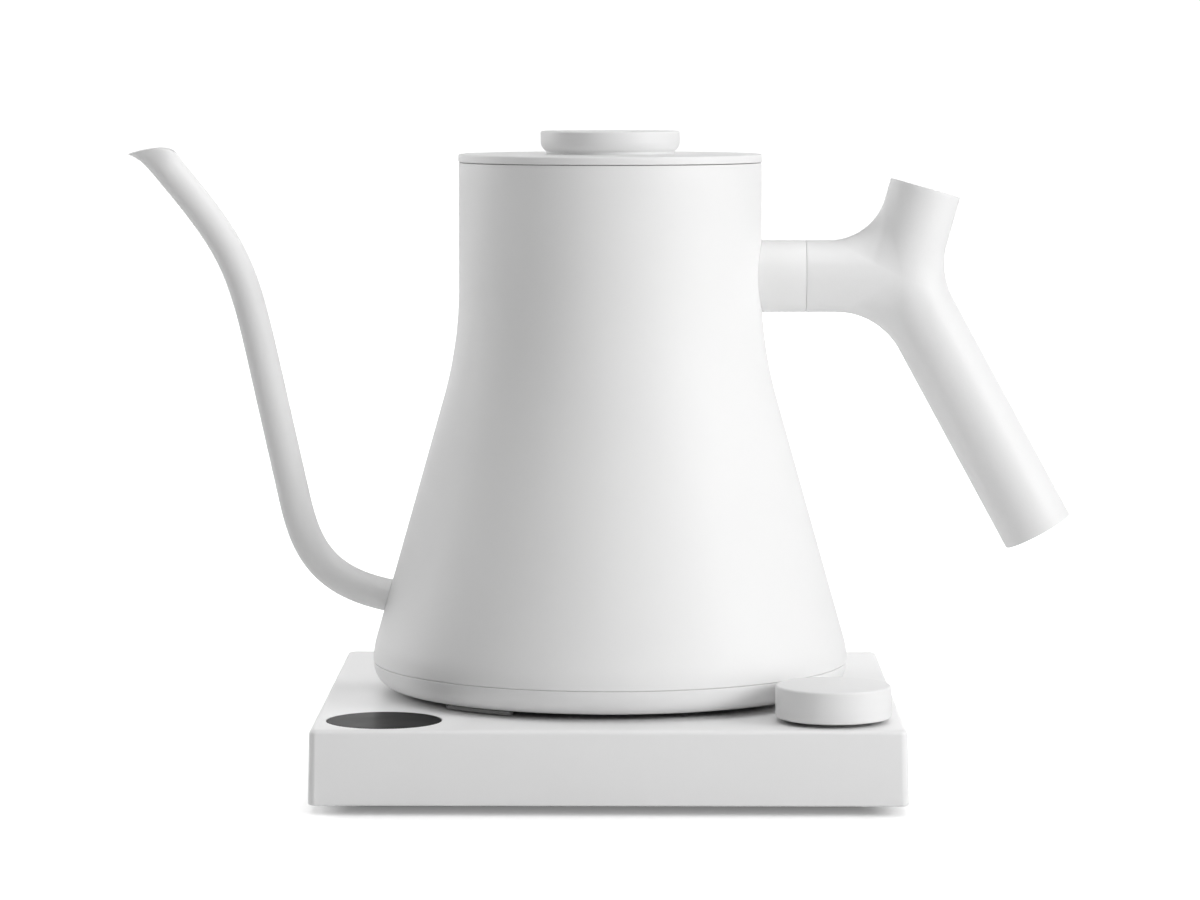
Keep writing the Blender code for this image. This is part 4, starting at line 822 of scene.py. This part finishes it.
def controls():
    """Flush display window and the push-and-turn dial."""
    low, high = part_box("display_lens")
    lens = [(0.0, low.z), (LENS_RADIUS, low.z), (LENS_RADIUS, high.z - 0.15 * MM), (LENS_RADIUS - 0.15 * MM, high.z),
            (0.0, high.z)]
    piece("display_window", moved(turned(lens, 192, False), LENS.x, LENS.y), GLASS, "power_base", "display_lens",
          smooth=30.0)
    skirt = DIAL_RADIUS - 2.2 * MM
    outline = [(0.0, DIAL_TOP)]
    outline += arc(DIAL_RADIUS - 0.7 * MM, DIAL_TOP - 0.7 * MM, 0.7 * MM, 90, 0, 8)
    outline += [(DIAL_RADIUS, DIAL_BOTTOM + 1.1 * MM), (DIAL_RADIUS - 0.25 * MM, DIAL_BOTTOM + 0.5 * MM),
                (DIAL_RADIUS - 0.8 * MM, DIAL_BOTTOM + 0.25 * MM), (skirt, DIAL_BOTTOM),
                (skirt, DIAL_TOP - 2.4 * MM), (6.0 * MM, DIAL_TOP - 2.4 * MM), (6.0 * MM, DIAL_BOTTOM + 0.4 * MM),
                (3.3 * MM, DIAL_BOTTOM + 0.4 * MM), (3.3 * MM, DIAL_TOP - 3.0 * MM), (0.0, DIAL_TOP - 3.0 * MM)]
    piece("dial_cap", moved(turned(outline, 192, False), DIAL.x, DIAL.y), WHITE, "dial", "dial",
          smooth=30.0)


# ------------------------------------------------------------- underside of the kettle

def underside():
    """Cover with screw wells, rest pads and round socket under the kettle."""
    low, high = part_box("kettle_bottom_cover")
    hole = SOCKET_RADIUS + 0.6 * MM
    plate = [(hole, low.z), (63.2 * MM, low.z, 0.4 * MM), (63.2 * MM, 29.4 * MM), (hole + 1.8 * MM, 29.4 * MM),
             (hole + 1.8 * MM, high.z), (hole, high.z)]
    wells = []
    for i in range(1, 4):
        screw = centre_of("kettle_screw_%d" % i)
        wells.append(drum(3.1 * MM, 26 * MM, 29.2 * MM, screw.x, screw.y, 48))
    piece("kettle_cover", turned(rounded(plate, 0.2 * MM, 3), 192), DARK, "kettle", "kettle_bottom_cover",
          wells, smooth=30.0)
    for i in range(1, 4):
        low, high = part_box("kettle_rest_pad_%d" % i)
        middle = math.atan2((low.y + high.y) / 2.0, (low.x + high.x) / 2.0)
        loops = []
        for step in range(25):
            angle = middle + math.radians(10.5) * (step - 12) / 12
            section = rounded([(64 * MM, low.z), (RING_FOOT_RADIUS, low.z), (RING_FOOT_RADIUS, high.z), (64 * MM, high.z)],
                              0.25 * MM, 3)
            loops.append([(r * math.cos(angle), r * math.sin(angle), z) for r, z in section])
        piece("rest_pad_%d" % i, skin_loops(loops), PAD, "kettle", "kettle_rest_pad_%d" % i, smooth=40.0)
    outline = [(0.0, SOCKET_TOP), (SOCKET_RADIUS, SOCKET_TOP), (SOCKET_RADIUS, SOCKET_BOTTOM), (14.1 * MM, SOCKET_BOTTOM),
               (14.1 * MM, 37.6 * MM), (0.0, 37.6 * MM)]
    piece("socket", turned(rounded(outline, 0.5 * MM, 3), 128, False), DARK, "kettle_coupler", "kettle_connector",
          smooth=30.0)


def screws():
    """Pan-head screws with a cross recess."""
    for node, body in [("base_screw_%d" % i, "power_base") for i in range(1, 5)] + [
            ("kettle_screw_%d" % i, "kettle") for i in range(1, 4)]:
        low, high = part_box(node)
        spot = centre_of(node)
        head = (high.x - low.x) / 2.0
        shank = head * 0.52
        outline = [(0.0, low.z)]
        outline += arc(head - 0.6 * MM, low.z + 0.6 * MM, 0.6 * MM, -90, 0, 5)
        outline += [(head, low.z + 1.7 * MM), (shank, low.z + 1.7 * MM), (shank, high.z - shank), (0.0, high.z)]
        cross = []
        for wide, deep in ((0.55, 3.2), (3.2, 0.55)):
            cross.append(box_at(wide * MM, deep * MM, 1.6 * MM, spot.x, spot.y, low.z))
        piece(node.replace("screw", "fixing"), moved(turned(outline, 48, False), spot.x, spot.y), STEEL, body, node,
              cross, smooth=30.0)


def box_at(size_x, size_y, size_z, x, y, z):
    """A box centred on a point."""
    bm = bmesh.new()
    bmesh.ops.create_cube(bm, size=1.0)
    bmesh.ops.scale(bm, vec=(size_x, size_y, size_z), verts=bm.verts)
    return moved(bm, x, y, z)


# ----------------------------------------------------------- CAD nodes that stay as they are

KEPT = {
    "display_module": DARK, "control_board": BOARD, "beeper": DARK, "power_board": BOARD, "power_relay": BLUE,
    "transformer": BLUE, "smoothing_capacitor": DARK, "cord_inlet": DARK, "encoder_body": DARK,
    "encoder_sleeve": STEEL, "dial_shaft": STEEL, "switch_plunger": BRASS, "socket_pin": BRASS,
    "socket_ring_blade": BRASS, "flow_restrictor": SILICONE, "kettle_floor": LINING, "heat_spreader": SPREADER,
    "heating_element": STEEL, "thermal_cutout": DARK, "thermal_fuse": DARK, "temperature_probe": LINING,
    "heater_lead_1": LEAD, "heater_lead_2": LEAD, "handle_bolt": STEEL, "grip_counterweight": STEEL,
    "grip_end_plug": WHITE,
}


def kept_nodes():
    """Give the CAD nodes that stay their finished materials and softened edges."""
    for name, material in KEPT.items():
        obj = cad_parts[name]
        obj.data.materials.clear()
        obj.data.materials.append(material)
        weld = obj.modifiers.new("weld", "WELD")
        weld.merge_threshold = 1e-6
        bevel = obj.modifiers.new("edge", "BEVEL")
        bevel.width = 0.12 * MM
        bevel.segments = 2
        bevel.limit_method = "ANGLE"
        bevel.angle_limit = math.radians(50.0)


# ------------------------------------------------------------------------- studio

def studio():
    """Pale floor with a painted contact shadow and painted light beside the base, soft lights and the camera."""
    mesh = bpy.data.meshes.new("floor")
    bm = bmesh.new()
    bmesh.ops.create_circle(bm, cap_ends=True, segments=96, radius=9.0)
    bm.to_mesh(mesh)
    bm.free()
    floor = bpy.data.objects.new("floor", mesh)
    bpy.context.scene.collection.objects.link(floor)
    n = Nodes("floor_paper_painted_shadow")
    speck = n.noise(180.0, 3.0, 0.5)
    n.set(Base_Color=n.mix(n.span(speck, 0.3, 0.7, 0.0, 1.0), grey(0.80), grey(0.82)))
    # The floor glows for camera rays only; near the base the glow is lowered into a painted contact shadow.
    seen = n.add("ShaderNodeLightPath").outputs["Is Camera Ray"]
    split = n.add("ShaderNodeSeparateXYZ", {"Vector": n.coords})
    side = n.math("ABSOLUTE", split.outputs[0])
    reach = n.math("MAXIMUM", side, n.math("ABSOLUTE", split.outputs[1]))
    # Painted contact shadow: the glow rises from its level at the base's edge to 0.25 above it, then keeps rising
    # further out so the open floor reads evenly white.
    near = n.span(reach, 0.09, 0.14, CONTACT_SHADOW_GLOW, CONTACT_SHADOW_GLOW + 0.25)
    far = n.span(reach, 0.14, 0.8, 0.0, 0.65)
    # Painted shadow under the front and back edges of the housing: the glow is lowered by up to 0.12.
    under = n.math("MULTIPLY", n.span(reach, 0.074, 0.087, -0.12, 0.0), n.span(side, 0.076, 0.082, 1.0, 0.0))
    # Painted light: the glow is raised by up to 0.14 to the left and right of the base, lifting the floor's shading
    # there.
    painted_light_beside_base = n.span(side, 0.076, 0.087, 0.0, 0.14)
    glow_with_painted_shade = n.math("ADD", n.math("ADD", near, far), n.math("ADD", under, painted_light_beside_base))
    n.set(Roughness=0.9, Emission_Color=grey(1.0), Emission_Strength=n.math("MULTIPLY", seen, glow_with_painted_shade))
    floor.data.materials.append(n.mat)

    world = bpy.data.worlds.new("studio")
    world.use_nodes = True
    bpy.context.scene.world = world
    tree = world.node_tree
    back = tree.nodes["Background"]
    seen = tree.nodes.new("ShaderNodeBackground")
    seen.inputs["Color"].default_value = (1.0, 1.0, 1.0, 1.0)
    seen.inputs["Strength"].default_value = 1.1
    back.inputs["Color"].default_value = (1.0, 1.0, 1.0, 1.0)
    back.inputs["Strength"].default_value = WORLD_LIGHT
    path = tree.nodes.new("ShaderNodeLightPath")
    mix = tree.nodes.new("ShaderNodeMixShader")
    tree.links.new(path.outputs["Is Camera Ray"], mix.inputs[0])
    tree.links.new(back.outputs[0], mix.inputs[1])
    tree.links.new(seen.outputs[0], mix.inputs[2])
    tree.links.new(mix.outputs[0], tree.nodes["World Output"].inputs["Surface"])

    for name, azimuth, elevation, distance, width, height, power in LIGHTS:
        light = bpy.data.lights.new(name, "AREA")
        light.shape = "RECTANGLE"
        light.size = width
        light.size_y = height
        light.energy = power
        lamp = bpy.data.objects.new(name, light)
        bpy.context.scene.collection.objects.link(lamp)
        a, e = math.radians(azimuth), math.radians(elevation)
        way = Vector((math.sin(a) * math.cos(e), -math.cos(a) * math.cos(e), math.sin(e)))
        lamp.location = AIM + way * distance
        lamp.rotation_mode = "QUATERNION"
        lamp.rotation_quaternion = way.to_track_quat("Z", "Y")
        lamp.visible_camera = False

    camera = bpy.data.cameras.new("camera")
    camera.sensor_width = 36.0
    camera.lens = 130.44
    camera.clip_start = 0.05
    camera.clip_end = 60.0
    view = bpy.data.objects.new("camera", camera)
    bpy.context.scene.collection.objects.link(view)
    view.location = (0.00888, -1.3246, 0.2143)
    view.rotation_euler = (math.radians(84.997), 0.0, math.radians(0.519))
    bpy.context.scene.camera = view
    bpy.context.scene.view_settings.view_transform = "Standard"


AIM = Vector((0.0, 0.0, 0.1))
WORLD_LIGHT = 0.01
# Floor glow at the edge of the base: the level of the painted contact shadow there.
CONTACT_SHADOW_GLOW = 0.33
# name, azimuth from the front towards the right, elevation, distance, width, height, power
LIGHTS = (
    ("key", 50.0, 18.0, 1.7, 1.0, 1.0, 2.6),
    ("key_side", 70.0, 18.0, 1.7, 1.0, 1.0, 5.3),
    ("key_core", 60.0, 18.0, 1.7, 0.6, 0.6, 9.2),
    ("front_fill", 0.0, 18.0, 1.7, 1.0, 1.0, 3.4),
    ("rim_left", -120.0, 18.0, 1.7, 1.0, 1.0, 10.4),
    ("rim_edge", -110.0, 18.0, 1.7, 0.6, 0.6, 1.0),
    ("fill_left", -60.0, 60.0, 1.8, 1.4, 1.4, 0.6),
    ("fill_right", 60.0, 60.0, 1.8, 1.4, 1.4, 1.5),
    ("back_right", 120.0, 50.0, 1.7, 1.0, 1.0, 1.8),
    ("overhead", 0.0, 88.0, 1.7, 2.2, 2.2, 8.7),
    ("overhead_core", 0.0, 88.0, 1.7, 1.0, 1.0, 9.4),
    ("back_card", 180.0, 12.0, 2.6, 4.0, 1.0, 20.6),
    ("back_card_right", 150.0, 15.0, 2.6, 1.6, 1.2, 0.8),
)

vessel()
base_ring()
spout()
grip()
bracket()
lid()
housing()
bottom_cover()
connector()
controls()
underside()
screws()
kept_nodes()
studio()

bpy.context.view_layer.update()
